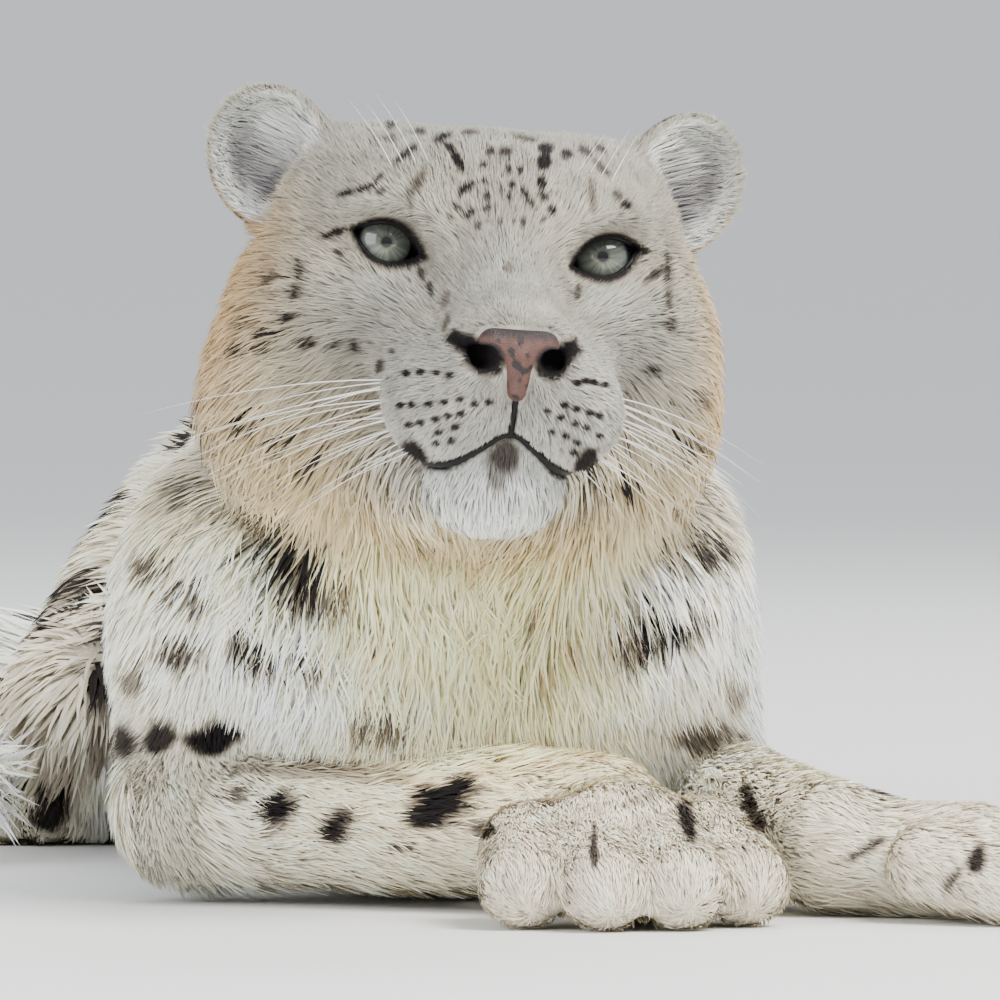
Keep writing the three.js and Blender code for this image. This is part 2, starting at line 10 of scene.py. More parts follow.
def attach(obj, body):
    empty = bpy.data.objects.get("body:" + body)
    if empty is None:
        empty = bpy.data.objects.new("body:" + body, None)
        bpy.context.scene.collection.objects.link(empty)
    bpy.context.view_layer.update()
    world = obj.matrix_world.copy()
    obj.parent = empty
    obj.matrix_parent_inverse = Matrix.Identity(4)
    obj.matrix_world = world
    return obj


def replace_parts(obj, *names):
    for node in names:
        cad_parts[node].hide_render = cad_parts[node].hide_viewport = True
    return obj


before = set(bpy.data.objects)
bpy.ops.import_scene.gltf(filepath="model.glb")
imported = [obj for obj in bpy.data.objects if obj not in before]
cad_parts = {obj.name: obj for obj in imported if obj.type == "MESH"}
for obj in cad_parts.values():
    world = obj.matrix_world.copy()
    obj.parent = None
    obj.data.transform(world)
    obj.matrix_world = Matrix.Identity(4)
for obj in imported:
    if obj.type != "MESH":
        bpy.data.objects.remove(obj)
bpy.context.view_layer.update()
MM = 0.001
rng = np.random.default_rng(7)

# Landmarks and sizes, in millimetres, as in the solids
HEAD_AT = np.array([24.0, -425.0, 259.0])
HEAD_YAW = 9.0
HEAD_ROLL = 3.9
EYE_RADIUS = 14.0
EYE_AT = np.array([42.5, 15.0, 0.0])
EYE_SLIT = {"half_width": 14.2, "half_height": 7.9, "slant": 18.0}
EAR_AT = np.array([81.0, 62.0, 30.0])
EAR_SIZE = np.array([25.0, 17.0, 28.0])
WITHERS = (0, -215, 186)
CHEST = (0, -228, 108)
RIBS = (-2, -90, 114)
BELLY = (-8, 80, 104)
PELVIS = (-26, 240, 106)
RUMP = (-34, 322, 92)
SHOULDER_RIGHT = (-72, -280, 128)
ELBOW_RIGHT = (-92, -288, 38)
WRIST_RIGHT = (62, -372, 34)
SHOULDER_LEFT = (70, -275, 128)
ELBOW_LEFT = (88, -205, 38)
WRIST_LEFT = (156, -376, 27)
HIP_RIGHT = (-86, 256, 104)
KNEE_RIGHT = (-146, 118, 54)
HOCK_RIGHT = (-150, 300, 32)
TOE_RIGHT = (-178, 112, 22)
HIP_LEFT = (26, 258, 108)
KNEE_LEFT = (64, 112, 70)
HOCK_LEFT = (70, 296, 32)
TOE_LEFT = (96, 104, 22)
NECK_TOP = (16, -348, 214)
NECK_BASE = (0, -225, 150)
TAIL_PATH = [
    (-40, 360, 66),
    (-66, 452, 46),
    (-150, 522, 40),
    (-256, 506, 40),
    (-326, 410, 40),
    (-340, 290, 40),
    (-318, 170, 40),
    (-272, 64, 40),
    (-214, -22, 38),
]

# Where the body's regions part, along y
HEAD_TO = -230.0
NECK_TO = -255.0
NECK_FADE = 40.0
TRUNK_FROM = -240.0
SHOWN_TO = -200.0
TAIL_BEHIND = 385.0

# The camera stands well back with a long lens.
CAMERA_AWAY = 5000.0
CAMERA_RISE = 1.75
PIXELS_PER_MM = 2.6
CAMERA_TARGET = np.array([25.0, -425.0, 163.0])
CAMERA_AHEAD = np.array([0, math.cos(math.radians(CAMERA_RISE)), -math.sin(math.radians(CAMERA_RISE))])
CAMERA_UP = np.array([0, math.sin(math.radians(CAMERA_RISE)), math.cos(math.radians(CAMERA_RISE))])
SENSOR = 36
PICTURE = 1000


def unit(v):
    """Vectors at length one."""
    v = np.asarray(v, float)
    return v / np.maximum(np.linalg.norm(v, axis=-1, keepdims=True), 1e-9)


def spin(axis, degrees):
    """A rotation about one axis, as a matrix."""
    c, s = math.cos(math.radians(degrees)), math.sin(math.radians(degrees))
    i, j = {"x": (1, 2), "y": (2, 0), "z": (0, 1)}[axis]
    turn = np.eye(3)
    turn[i, i] = turn[j, j] = c
    turn[i, j] = -s
    turn[j, i] = s
    return turn


HEAD_TURN = spin("z", HEAD_YAW) @ spin("y", HEAD_ROLL)


def to_head(p):
    return (p - HEAD_AT) @ HEAD_TURN


def from_head(p):
    return np.asarray(p, float) @ HEAD_TURN.T + HEAD_AT


def sided(p, side):
    return np.array([p[0] * side, p[1], p[2]], float)


class Form:
    """A ball or a limb, with its coat's length, how far its tips stand off, and its lie."""

    def __init__(self, distance, fur, rise, lie, in_head=False):
        self.distance = distance
        self.fur = fur
        self.rise = rise
        self.lie = lie
        self.in_head = in_head


def ball(centre, radii):
    """The distance to a stretched ball."""
    centre = np.asarray(centre, float)
    radii = np.asarray(radii, float)

    def distance(p):
        q = (p - centre) / radii
        near = np.sqrt((q * q).sum(1))
        slope = np.sqrt(((q / radii) ** 2).sum(1))
        return near * (near - 1) / np.maximum(slope, 1e-9)

    return distance


def limb(a, b, radius_a, radius_b):
    """The distance to a limb that is round at both ends."""
    a = np.asarray(a, float)
    along = np.asarray(b, float) - a
    length_squared = along @ along

    def distance(p):
        q = p - a
        t = held(q @ along / length_squared)
        q -= t[:, None] * along
        return np.sqrt((q * q).sum(1)) - (radius_a + (radius_b - radius_a) * t)

    return distance


def melt(distances, blend):
    """Smooth union of rows of distances."""
    low = distances.min(0)
    return low - blend * np.log(np.exp((low - distances) / blend).sum(0))


def carve(field, hollow, soft):
    """The field with the hollow taken out, and its edge rounded."""
    a, b = field, -hollow
    h = np.maximum(soft - np.abs(a - b), 0) / soft
    return np.maximum(a, b) + h * h * soft / 4


def joined(forms, p, blend):
    """Smooth union of several forms."""
    return melt(np.array([form.distance(p) for form in forms]), blend)


def held(v):
    """A value held between 0 and 1."""
    return np.clip(v, 0, 1)


# Head forms, in the head's own frame: shape, coat length, rise, lie
AWAY = "away from the nose"
head_forms = [
    Form(ball((0, 62, -2), (72, 66, 44)), 11, 5, AWAY, True),
    Form(ball((0, 26, 8), (58, 36, 33)), 7.5, 3.4, AWAY, True),
    Form(limb((0, 8, -8), (0, -46, -37), 23, 18), 4.6, 1.8, AWAY, True),
    Form(ball((0, -54, -41), (22, 16, 14)), 3.4, 1.2, AWAY, True),
    Form(ball((0, -32, -88), (23, 23, 16)), 15, 6.5, (0, 0.35, -1), True),
    Form(ball((0, 30, -80), (44, 50, 26)), 34, 10, (0, 0.3, -1), True),
]
for side in (1, -1):
    head_forms += [
        Form(ball(sided((34, 7, 15), side), (21, 15, 10)), 6, 2.6, AWAY, True),
        Form(ball(sided((43, 54, 15), side), (27, 34, 26)), 11, 5, AWAY, True),
        Form(ball(sided((20, -42, -61), side), (23, 25, 18)), 5.6, 2.4, AWAY, True),
        Form(
            limb(sided((30, 8, -34), side), sided((20, -34, -54), side), 19, 17), 8.5, 3.4, AWAY, True
        ),
        Form(ball(sided((50, 20, -22), side), (25, 22, 19)), 8.5, 3.6, AWAY, True),
        Form(ball(sided((54, 52, -36), side), (36, 44, 42)), 28, 9, (side * 0.6, 0.8, -0.7), True),
        Form(ball(sided((56, 70, -62), side), (36, 40, 34)), 46, 17, (side * 0.45, 0.7, -1), True),
    ]

trunk_forms = [
    Form(ball(CHEST, (94, 96, 108)), 46, 13, (0, 0.5, -1)),
    Form(ball(WITHERS, (44, 84, 40)), 42, 14, (0, 1, -0.1)),
    Form(ball(RIBS, (100, 180, 110)), 44, 14, (0, 1, -0.4)),
    Form(ball(BELLY, (104, 180, 104)), 46, 14, (0, 1, -0.45)),
    Form(ball(PELVIS, (86, 118, 98)), 42, 16, (0, 1, -0.35)),
    Form(ball(RUMP, (62, 66, 76)), 42, 16, (0, 0.9, -0.6)),
]
neck_forms = [
    Form(limb(NECK_BASE, NECK_TOP, 84, 62), 44, 14, (0, 0.75, -0.8)),
    Form(limb((2, -268, 122), (16, -356, 178), 72, 50), 44, 14, (0, 0.1, -1)),
    Form(ball((0, -290, 104), (84, 52, 84)), 42, 14, (0, 0.1, -1)),
]


def towards(a, b):
    return tuple(np.asarray(b, float) - np.asarray(a, float))


upper_legs = [
    Form(limb(SHOULDER_RIGHT, ELBOW_RIGHT, 42, 27), 28, 9, (-0.1, 0.5, -1)),
    Form(limb(SHOULDER_LEFT, ELBOW_LEFT, 44, 34), 30, 9, (0.1, 0.5, -1)),
    Form(ball((-84, -258, 106), (38, 48, 56)), 32, 9, (-0.1, 0.5, -1)),
    Form(ball((78, -256, 102), (35, 48, 58)), 32, 9, (0.1, 0.5, -1)),
    Form(limb(HIP_RIGHT, KNEE_RIGHT, 60, 34), 32, 10, (0, 0.35, -1)),
    Form(limb(HIP_LEFT, KNEE_LEFT, 62, 42), 32, 10, (0, 0.35, -1)),
    Form(ball((-112, 200, 74), (44, 84, 58)), 32, 10, (0, 0.4, -1)),
    Form(ball((44, 196, 84), (44, 84, 62)), 32, 10, (0, 0.4, -1)),
]
lower_legs = [
    Form(limb(ELBOW_RIGHT, WRIST_RIGHT, 30, 25), 16, 4.5, towards(ELBOW_RIGHT, WRIST_RIGHT)),
    Form(limb(ELBOW_LEFT, WRIST_LEFT, 29, 21), 16, 4.5, towards(ELBOW_LEFT, WRIST_LEFT)),
    Form(limb(KNEE_RIGHT, HOCK_RIGHT, 30, 19), 20, 8, towards(KNEE_RIGHT, HOCK_RIGHT)),
    Form(limb(KNEE_LEFT, HOCK_LEFT, 34, 19), 20, 8, towards(KNEE_LEFT, HOCK_LEFT)),
]


def paw_forms(wrist, heading, length, width, height):
    """A broad pad with four toes side by side, each with its knuckle."""
    way = np.array([math.cos(math.radians(heading)), math.sin(math.radians(heading)), 0])
    across = np.array([-way[1], way[0], 0])

    def at(forward, aside, z):
        return np.array([wrist[0], wrist[1], z]) + way * forward + across * aside

    heel = at(0, 0, height * 0.52)
    ball_of_foot = at(length * 0.45, 0, height * 0.46)
    pad = limb(heel, ball_of_foot, height * 0.46, height * 0.5)
    forms = [Form(pad, 12, 2.6, tuple(way + (0, 0, -0.2)))]
    radius = width * 0.15
    for aside, reach in zip((-0.37, -0.13, 0.13, 0.37), (0.84, 1, 1, 0.84)):
        knuckle = at(length * 0.5 * reach, aside * width * 0.92, height * 0.52)
        tip = at(length * reach - radius, aside * width * 1.12, radius * 1.05)
        toe = limb(knuckle, tip, radius * 1.1, radius)
        forms.append(Form(toe, 9, 2.4, tuple(way + (0, 0, -0.5))))
    return forms


def instep(toe, hock):
    """Where a hind foot's pad begins."""
    return 0.6 * np.asarray(toe, float) + 0.4 * np.asarray(hock, float)


# Length, width and height of each paw
RIGHT_FORE_PAW = (118, 104, 55)
LEFT_FORE_PAW = (118, 92, 44)
HIND_PAW = (96, 76, 42)
paws = paw_forms(WRIST_RIGHT, -80, *RIGHT_FORE_PAW)
paws += paw_forms(WRIST_LEFT, -22, *LEFT_FORE_PAW)
for hock, toe, heading in ((HOCK_RIGHT, TOE_RIGHT, -98), (HOCK_LEFT, TOE_LEFT, -82)):
    paws.append(Form(limb(hock, instep(toe, hock), 19, 17), 15, 6, towards(hock, toe)))
    paws += paw_forms(instep(toe, hock), heading, *HIND_PAW)


def smooth_path(stops, count):
    """Points along a smooth curve through the stops."""
    stops = np.asarray(stops, float)
    padded = np.vstack([2 * stops[0] - stops[1], stops, 2 * stops[-1] - stops[-2]])
    found = []
    for u in np.linspace(0, len(stops) - 1 - 1e-6, count):
        i = int(u)
        t = u - i
        a, b, c, d = padded[i : i + 4]
        bend = (2 * a - 5 * b + 4 * c - d) * t**2
        twist = (3 * b - 3 * c + d - a) * t**3
        found.append(0.5 * (2 * b + (c - a) * t + bend + twist))
    return np.array(found)


tail_line = smooth_path(TAIL_PATH, 22)
tail_forms = []
for i in range(len(tail_line) - 1):
    t = i / (len(tail_line) - 1)
    piece = limb(tail_line[i], tail_line[i + 1], 30 - 6 * t, 30 - 6 * t)
    tail_forms.append(Form(piece, 52, 16, towards(tail_line[i], tail_line[i + 1])))

body_forms = trunk_forms + neck_forms + upper_legs + lower_legs + paws + tail_forms
BODY_BLEND = 8.0
LIMB_BLEND = 4.0
HEAD_BLEND = 6.0
JOIN_BLEND = 5.0
LOWEST_SKIN = 1.0


def ear_turn(side):
    return spin("z", side * 24) @ spin("y", side * 14) @ spin("x", 8)


def ear_distance(q, side):
    """A cup, open towards its own -y."""
    p = (q - sided(EAR_AT, side)) @ ear_turn(side)
    outer = ball((0, 0, 0), EAR_SIZE)(p)
    inner = ball((0, -2, 0), EAR_SIZE - (4.5, 4.5, 4.5))(p)
    shell = carve(outer, inner, 2)
    return carve(shell, p[:, 1] + 1.5, 2)


def slit_frame(q, side):
    """Points against one eye's opening: along it, across it, and in front of the eye's middle."""
    d = q - sided(EYE_AT, side)
    a = math.radians(side * EYE_SLIT["slant"])
    return (
        d[:, 0] * math.cos(a) + d[:, 2] * math.sin(a),
        -d[:, 0] * math.sin(a) + d[:, 2] * math.cos(a),
        -d[:, 1],
    )


def almond(q, side):
    """How far a point lies outside the opening between the lids, seen from the front."""
    u, v, _ = slit_frame(q, side)
    w, h = EYE_SLIT["half_width"], EYE_SLIT["half_height"]
    beyond = np.maximum(np.abs(u) - w, 0)
    u = np.clip(u, -w, w)
    gap = (np.abs(v) - h * (1 - (u / w) ** 2)) / np.sqrt(1 + (2 * h * u / w**2) ** 2)
    return np.where(beyond > 0, np.hypot(beyond, v), gap)


def nostril_distance(q, side):
    hole = limb(sided((9.6, -86, -42), side), sided((15, -60, -40), side), 5.3, 4.4)(q)
    tail = limb(sided((14, -72, -40), side), sided((24, -56, -34), side), 3.0, 1.0)(q)
    return np.minimum(hole, tail)


MOUTH_CORNER = (35, -22, -80)
MOUTH_MIDDLE = (0, -62, -70)
MOUTH_LINE = [
    sided(MOUTH_CORNER, -1),
    (-20, -52, -82),
    (-7, -60, -72),
    MOUTH_MIDDLE,
    (7, -60, -72),
    (20, -52, -82),
    MOUTH_CORNER,
]
mouth_path = smooth_path(MOUTH_LINE, 25)
PHILTRUM = np.array([(0, -74, -57), (0, -70, -64), MOUTH_MIDDLE], float)


def polyline_distance(q, path, flat=None):
    """Distance to a line of points, seen along y where flat is set."""
    keep = [0, 2] if flat else [0, 1, 2]
    best = np.full(len(q), 1e9)
    for a, b in zip(path[:-1], path[1:]):
        along = (b - a)[keep]
        d = q[:, keep] - a[keep]
        t = held(d @ along / max(along @ along, 1e-9))
        d = d - t[:, None] * along
        best = np.minimum(best, np.sqrt((d * d).sum(1)))
    return best


def head_field(q):
    """The head without its neck, in the head's frame."""
    field = joined(head_forms, q, HEAD_BLEND)
    for side in (1, -1):
        hollow_turn = spin("y", -side * 15)
        hollow = ball((0, 0, 0), (19, 15, 12))((q - sided((43, -10, 0), side)) @ hollow_turn)
        field = carve(field, hollow, 6)
    for side in (1, -1):
        lid = ball(sided(EYE_AT, side), np.ones(3) * (EYE_RADIUS + 2.2))(q)
        field = melt(np.array([field, lid]), 1.6)
        field = melt(np.array([field, ear_distance(q, side)]), 2.5)
    for side in (1, -1):
        _, _, front = slit_frame(q, side)
        field = carve(field, np.maximum(almond(q, side), 2 - front), 1.0)
        field = carve(field, nostril_distance(q, side), 1.5)
    field = carve(field, polyline_distance(q, mouth_path) - 1.6, 2.0)
    return carve(field, polyline_distance(q, PHILTRUM) - 0.9, 1.5)


def skin_field(p):
    """The whole animal, a little above the floor."""
    body = joined(trunk_forms + neck_forms + upper_legs, p, BODY_BLEND)
    limbs = joined(lower_legs + paws + tail_forms, p, LIMB_BLEND)
    field = melt(np.array([body, limbs]), JOIN_BLEND)
    near = p[:, 1] < HEAD_TO
    if near.any():
        field[near] = melt(np.array([field[near], head_field(to_head(p[near]))]), JOIN_BLEND)
    return np.maximum(field, LOWEST_SKIN - p[:, 2])


def graded(low, high, fine_from, fine_to, fine, coarse):
    """Grid lines that lie closer together between two values."""
    lines = [low]
    while lines[-1] < high:
        away = max(fine_from - lines[-1], lines[-1] - fine_to, 0)
        lines.append(lines[-1] + min(coarse, fine + 0.1 * away))
    while (len(lines) - 1) % BLOCK:
        lines.append(lines[-1] + coarse)
    return np.array(lines)


def crossings(axes):
    """All crossings of three sets of grid lines."""
    return np.array(np.meshgrid(*axes, indexing="ij")).reshape(3, -1).T


# The grid is worked out in blocks of this many cells. Far from the surface it holds a set value.
BLOCK = 8
BATCH = 300
FAR = 50.0


def sample_field(field, lines):
    """The field at every crossing of the grid lines, worked out only near the surface."""
    counts = [len(axis) for axis in lines]
    values = np.full(counts, FAR, np.float32)
    blocks = crossings([np.arange(0, n - 1, BLOCK) for n in counts])
    low = np.stack([lines[k][blocks[:, k]] for k in range(3)], 1)
    ends = [np.minimum(blocks[:, k] + BLOCK, counts[k] - 1) for k in range(3)]
    high = np.stack([lines[k][ends[k]] for k in range(3)], 1)
    middle = field((low + high) / 2)
    reach = np.linalg.norm(high - low, axis=1) / 2
    near = np.abs(middle) < 1.5 * reach + 6
    span = BLOCK + 1
    for (i, j, k), value in zip(blocks[~near], middle[~near]):
        if value < 0:
            values[i : i + span, j : j + span, k : k + span] = -FAR
    for done in range(0, near.sum(), BATCH):
        batch = blocks[near][done : done + BATCH]
        grids = []
        for i, j, k in batch:
            starts = zip(lines, (i, j, k))
            grids.append(crossings([axis[start : start + span] for axis, start in starts]))
        found = field(np.vstack(grids))
        at = 0
        for (i, j, k), grid in zip(batch, grids):
            part = found[at : at + len(grid)]
            values[i : i + span, j : j + span, k : k + span] = part.reshape(span, span, span)
            at += len(grid)
    return values


def surface_net(values, lines):
    """Quads through the cells that the surface crosses."""
    inside = values < 0
    cells = [n - 1 for n in values.shape]
    corner = [(i, j, k) for i in (0, 1) for j in (0, 1) for k in (0, 1)]

    def at(array, c):
        return array[c[0] : c[0] + cells[0], c[1] : c[1] + cells[1], c[2] : c[2] + cells[2]]

    total = sum(at(inside, c).astype(np.int8) for c in corner)
    mixed = (total > 0) & (total < 8)
    index = np.full(cells, -1, np.int64)
    where = np.argwhere(mixed)
    index[mixed] = np.arange(len(where))
    spots = np.zeros((len(where), 3))
    hits = np.zeros(len(where))
    corner_at = {}
    for c in corner:
        node = where + np.array(c)
        corner_at[c] = (
            values[tuple(node.T)].astype(float),
            np.stack([lines[k][node[:, k]] for k in range(3)], 1),
        )
    for c in corner:
        for axis in range(3):
            if c[axis]:
                continue
            other = tuple(1 if k == axis else c[k] for k in range(3))
            (va, pa), (vb, pb) = corner_at[c], corner_at[other]
            cross = (va < 0) != (vb < 0)
            t = va[cross] / (va[cross] - vb[cross])
            spots[cross] += pa[cross] + t[:, None] * (pb[cross] - pa[cross])
            hits[cross] += 1
    spots /= hits[:, None]
    quads = []
    for axis in range(3):
        u, v = (axis + 1) % 3, (axis + 2) % 3
        step = [slice(None)] * 3
        ahead = [slice(None)] * 3
        step[axis] = slice(0, -1)
        ahead[axis] = slice(1, None)
        flips = inside[tuple(step)] != inside[tuple(ahead)]
        edge = np.argwhere(flips)
        low_enough = (edge[:, u] < cells[u]) & (edge[:, v] < cells[v])
        edge = edge[(edge[:, u] > 0) & (edge[:, v] > 0) & low_enough]
        around = []
        for du, dv in ((0, 0), (-1, 0), (-1, -1), (0, -1)):
            cell = edge.copy()
            cell[:, u] += du
            cell[:, v] += dv
            around.append(index[tuple(cell.T)])
        quad = np.stack(around, 1)
        outward = inside[tuple(edge.T)]
        quad[~outward] = quad[~outward][:, ::-1]
        quads.append(quad)
    return spots, np.vstack(quads)


def slope(field, p, step=0.4):
    """The field's direction of growth."""
    grown = []
    for axis in range(3):
        shift = np.zeros(3)
        shift[axis] = step
        grown.append((field(p + shift) - field(p - shift)) / (2 * step))
    return np.stack(grown, 1)


def settle(field, p, rounds=2, most=1.2):
    """Moves points onto the surface."""
    for _ in range(rounds):
        way = slope(field, p)
        value = field(p)
        move = -value[:, None] * way / np.maximum((way * way).sum(1, keepdims=True), 0.2)
        length = np.linalg.norm(move, axis=1, keepdims=True)
        p = p + move * np.minimum(1, most / np.maximum(length, 1e-9))
    return p


def mesh_object(name, points, faces, smooth=True):
    """A mesh piece on the root body. Points are in millimetres."""
    mesh = bpy.data.meshes.new(name)
    faces = np.asarray(faces)
    mesh.vertices.add(len(points))
    mesh.vertices.foreach_set("co", (np.asarray(points) * MM).astype(np.float32).ravel())
    sides = faces.shape[1]
    mesh.loops.add(faces.size)
    mesh.loops.foreach_set("vertex_index", faces.astype(np.int32).ravel())
    mesh.polygons.add(len(faces))
    mesh.polygons.foreach_set("loop_start", np.arange(0, faces.size, sides, dtype=np.int32))
    mesh.update(calc_edges=True)
    mesh.polygons.foreach_set("use_smooth", np.full(len(faces), smooth))
    piece = bpy.data.objects.new(name, mesh)
    bpy.context.scene.collection.objects.link(piece)
    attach(piece, "root")
    return piece


def set_colour(piece, name, colour):
    layer = piece.data.attributes.new(name, "FLOAT_COLOR", "POINT")
    rgba = np.ones((len(colour), 4), np.float32)
    rgba[:, :3] = colour
    layer.data.foreach_set("color", rgba.ravel())


def linear(colour):
    """From display values, 0 to 255, to scene light."""
    c = np.asarray(colour, float) / 255
    return np.where(c <= 0.04045, c / 12.92, ((c + 0.055) / 1.055) ** 2.4)


# The skin, on a grid that is finest round the head
fine, coarse = ((2.1, 7.0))
lines = [
    graded(-420, 320, -82, 128, fine, coarse),
    graded(-520, 610, -508, -345, fine, coarse),
    graded(-8, 345, 150, 330, fine, coarse),
]
values = sample_field(skin_field, lines)
skin_points, skin_faces = surface_net(values, lines)
skin_points = settle(skin_field, skin_points)
skin_normals = unit(slope(skin_field, skin_points))

all_forms = head_forms + body_forms


def coat_facts(p):
    """Coat length, how far the tips stand off, and the lie, blended from the nearest forms."""
    q = to_head(p)
    distances = np.array([form.distance(q if form.in_head else p) for form in all_forms])
    weights = np.exp(-(distances - distances.min(0)) / 7.0)
    weights /= weights.sum(0)
    fur = weights.T @ np.array([form.fur for form in all_forms])
    rise = weights.T @ np.array([form.rise for form in all_forms])
    from_nose = unit(q - (0, -66, -34)) + np.array([0, 0.35, 0])
    lie = np.zeros_like(p)
    for form, weight in zip(all_forms, weights):
        if form.lie == AWAY:
            way = from_nose @ HEAD_TURN.T
        else:
            way = unit(np.array(form.lie, float))
            way = way @ HEAD_TURN.T if form.in_head else way
        lie += weight[:, None] * way
    return fur, rise, lie


fur, rise, lie = coat_facts(skin_points)
head_points = to_head(skin_points)
in_front = skin_points[:, 1] < -300
for side in (1, -1):
    ear = ear_distance(head_points, side)
    on_ear = held(1 - np.abs(ear) / 3) * (skin_points[:, 1] < -250)
    local = (head_points - sided(EAR_AT, side)) @ ear_turn(side)
    inner = (local[:, 1] < 10) & (ball((0, 0, 0), EAR_SIZE - (2, 2, 2))(local) < 0)
    near_side = held(0.5 - side * local[:, 0] / 20)
    low_in = held((14 - local[:, 2]) / 14)
    fur = fur * (1 - on_ear) + on_ear * np.where(inner, 7 + 14 * near_side * low_in, 3.6)
    rise = rise * (1 - on_ear) + on_ear * np.where(inner, 2.4 + 6 * near_side * low_in, 1.0)
    up_ear = unit((-side * 0.2, -0.3, 1.0))
    fringe = unit((side * 0.75, -0.5, 0.5))
    way = np.where(inner[:, None], fringe, up_ear) @ ear_turn(side).T @ HEAD_TURN.T
    lie = lie * (1 - on_ear[:, None]) + way * on_ear[:, None]
    lid = held(1 - (almond(head_points, side) - 1) / 9) * in_front * (head_points[:, 1] < 20)
    fur = fur * (1 - 0.62 * lid)
    rise = rise * (1 - 0.7 * lid)
above_arm = (skin_points[:, 1] < -262) & (np.abs(skin_points[:, 0] - 5) < 125)
room = np.clip((skin_points[:, 2] - 52) / 62, 0.3, 1)
fur = np.where(above_arm & (fur > 20), fur * room, fur)
near_mouth = held(1 - (polyline_distance(head_points, mouth_path) - 2) / 8)
fur = fur * (1 - 0.7 * near_mouth)
rise = rise * (1 - 0.75 * near_mouth)


def tangent(way, normal):
    return unit(way - (way * normal).sum(1, keepdims=True) * normal)


lie = tangent(lie, skin_normals)


# Colours, as display values
def waves(p, scale, seed):
    """Smooth noise between -1 and 1."""
    draw = np.random.default_rng(seed)
    total = np.zeros(len(p))
    for _ in range(6):
        way = draw.normal(size=3)
        way = way / np.linalg.norm(way) / scale * draw.uniform(0.6, 1.7)
        total += np.sin(p @ way * 2 * math.pi + draw.uniform(0, 6.3))
    return total / 3.2


def photo_place(p):
    """Where a point falls in the picture."""
    d = p - CAMERA_TARGET
    zoom = PIXELS_PER_MM * CAMERA_AWAY / (CAMERA_AWAY + d @ CAMERA_AHEAD)
    return PICTURE / 2 + d[:, 0] * zoom, PICTURE / 2 - (d @ CAMERA_UP) * zoom


# Coat tones: centre, radii, colour, weight. The first group is in the head's frame.
# Paired tones are lighter on the right (+x) than on the left: partly the coat's own colour, partly painted
# light on the right and painted shade on the left.
HEAD_TONES = [
    ((0, 30, 46), (60, 60, 26), (168, 166, 158), 2.0),
    ((0, -25, -14), (18, 40, 20), (196, 196, 192), 2.0),
    ((42, 2, -18), (16, 20, 6), (204, 205, 202), 2.0),
    ((-42, 2, -18), (16, 20, 6), (204, 205, 202), 2.0),
    ((48, 4, -36), (24, 26, 15), (168, 168, 163), 3.0),
    ((-48, 4, -36), (24, 26, 15), (160, 160, 154), 3.0),
    ((40, 2, 17), (15, 16, 6), (214, 212, 202), 2.0),
    ((-40, 2, 17), (15, 16, 6), (214, 212, 202), 2.0),
    ((22, -40, -58), (26, 28, 22), (236, 236, 232), 3.5),
    ((-22, -40, -58), (26, 28, 22), (216, 217, 213), 3.0),
    ((0, -34, -96), (34, 34, 22), (276, 279, 280), 6.0),
    ((62, 40, -50), (30, 40, 26), (228, 222, 210), 2.5),
    ((-62, 40, -50), (30, 40, 26), (216, 206, 184), 2.5),
    ((-92, 66, -30), (22, 36, 34), (196, 162, 120), 5.0),
    ((96, 66, -38), (16, 36, 36), (232, 194, 144), 5.0),
    ((-66, 60, -84), (30, 40, 22), (208, 184, 140), 3.0),
    ((66, 60, -84), (30, 40, 22), (222, 204, 168), 3.0),
    ((0, 30, -104), (50, 50, 20), (196, 178, 142), 3.0),
]
BODY_TONES = [
    ((0, -360, 110), (70, 50, 60), (222, 204, 168), 3.0),
    ((40, -360, 90), (60, 40, 40), (228, 212, 182), 3.0),
    ((100, -300, 130), (40, 70, 70), (236, 230, 216), 3.0),
    ((-100, -280, 150), (40, 60, 50), (222, 214, 192), 3.0),
    ((-60, -330, 90), (40, 40, 30), (238, 234, 222), 3.0),
    ((0, 0, 220), (120, 420, 60), (160, 154, 142), 3.0),
    ((-130, 180, 80), (110, 200, 80), (170, 162, 146), 3.0),
    ((-40, 60, 10), (140, 300, 40), (228, 222, 208), 3.0),
    ((80, -440, 20), (240, 70, 50), (214, 206, 192), 3.0),
]
PLAIN = (206, 202, 190)
EAR_HAIR = np.array((214, 214, 208))
EAR_DEEP = np.array((112, 108, 108))


def spots_at(across, fall, marks, grain):
    """How strongly a set of marks covers each picture place."""
    cover = np.zeros(len(across))
    for strength, group in marks.items():
        for x, y, length, width, angle in group:
            reach = max(length, width) * 0.9
            close = np.nonzero((np.abs(across - x) < reach) & (np.abs(fall - y) < reach))[0]
            if not len(close):
                continue
            dx, dy = across[close] - x, fall[close] - y
            c, s = math.cos(math.radians(angle)), math.sin(math.radians(angle))
            u = (dx * c + dy * s) / (length / 2)
            v = (-dx * s + dy * c) / (width / 2)
            d = np.sqrt(u * u + v * v) + 0.28 * grain[close]
            cover[close] = np.maximum(cover[close], strength * held((1.25 - d) / 0.45))
    return cover
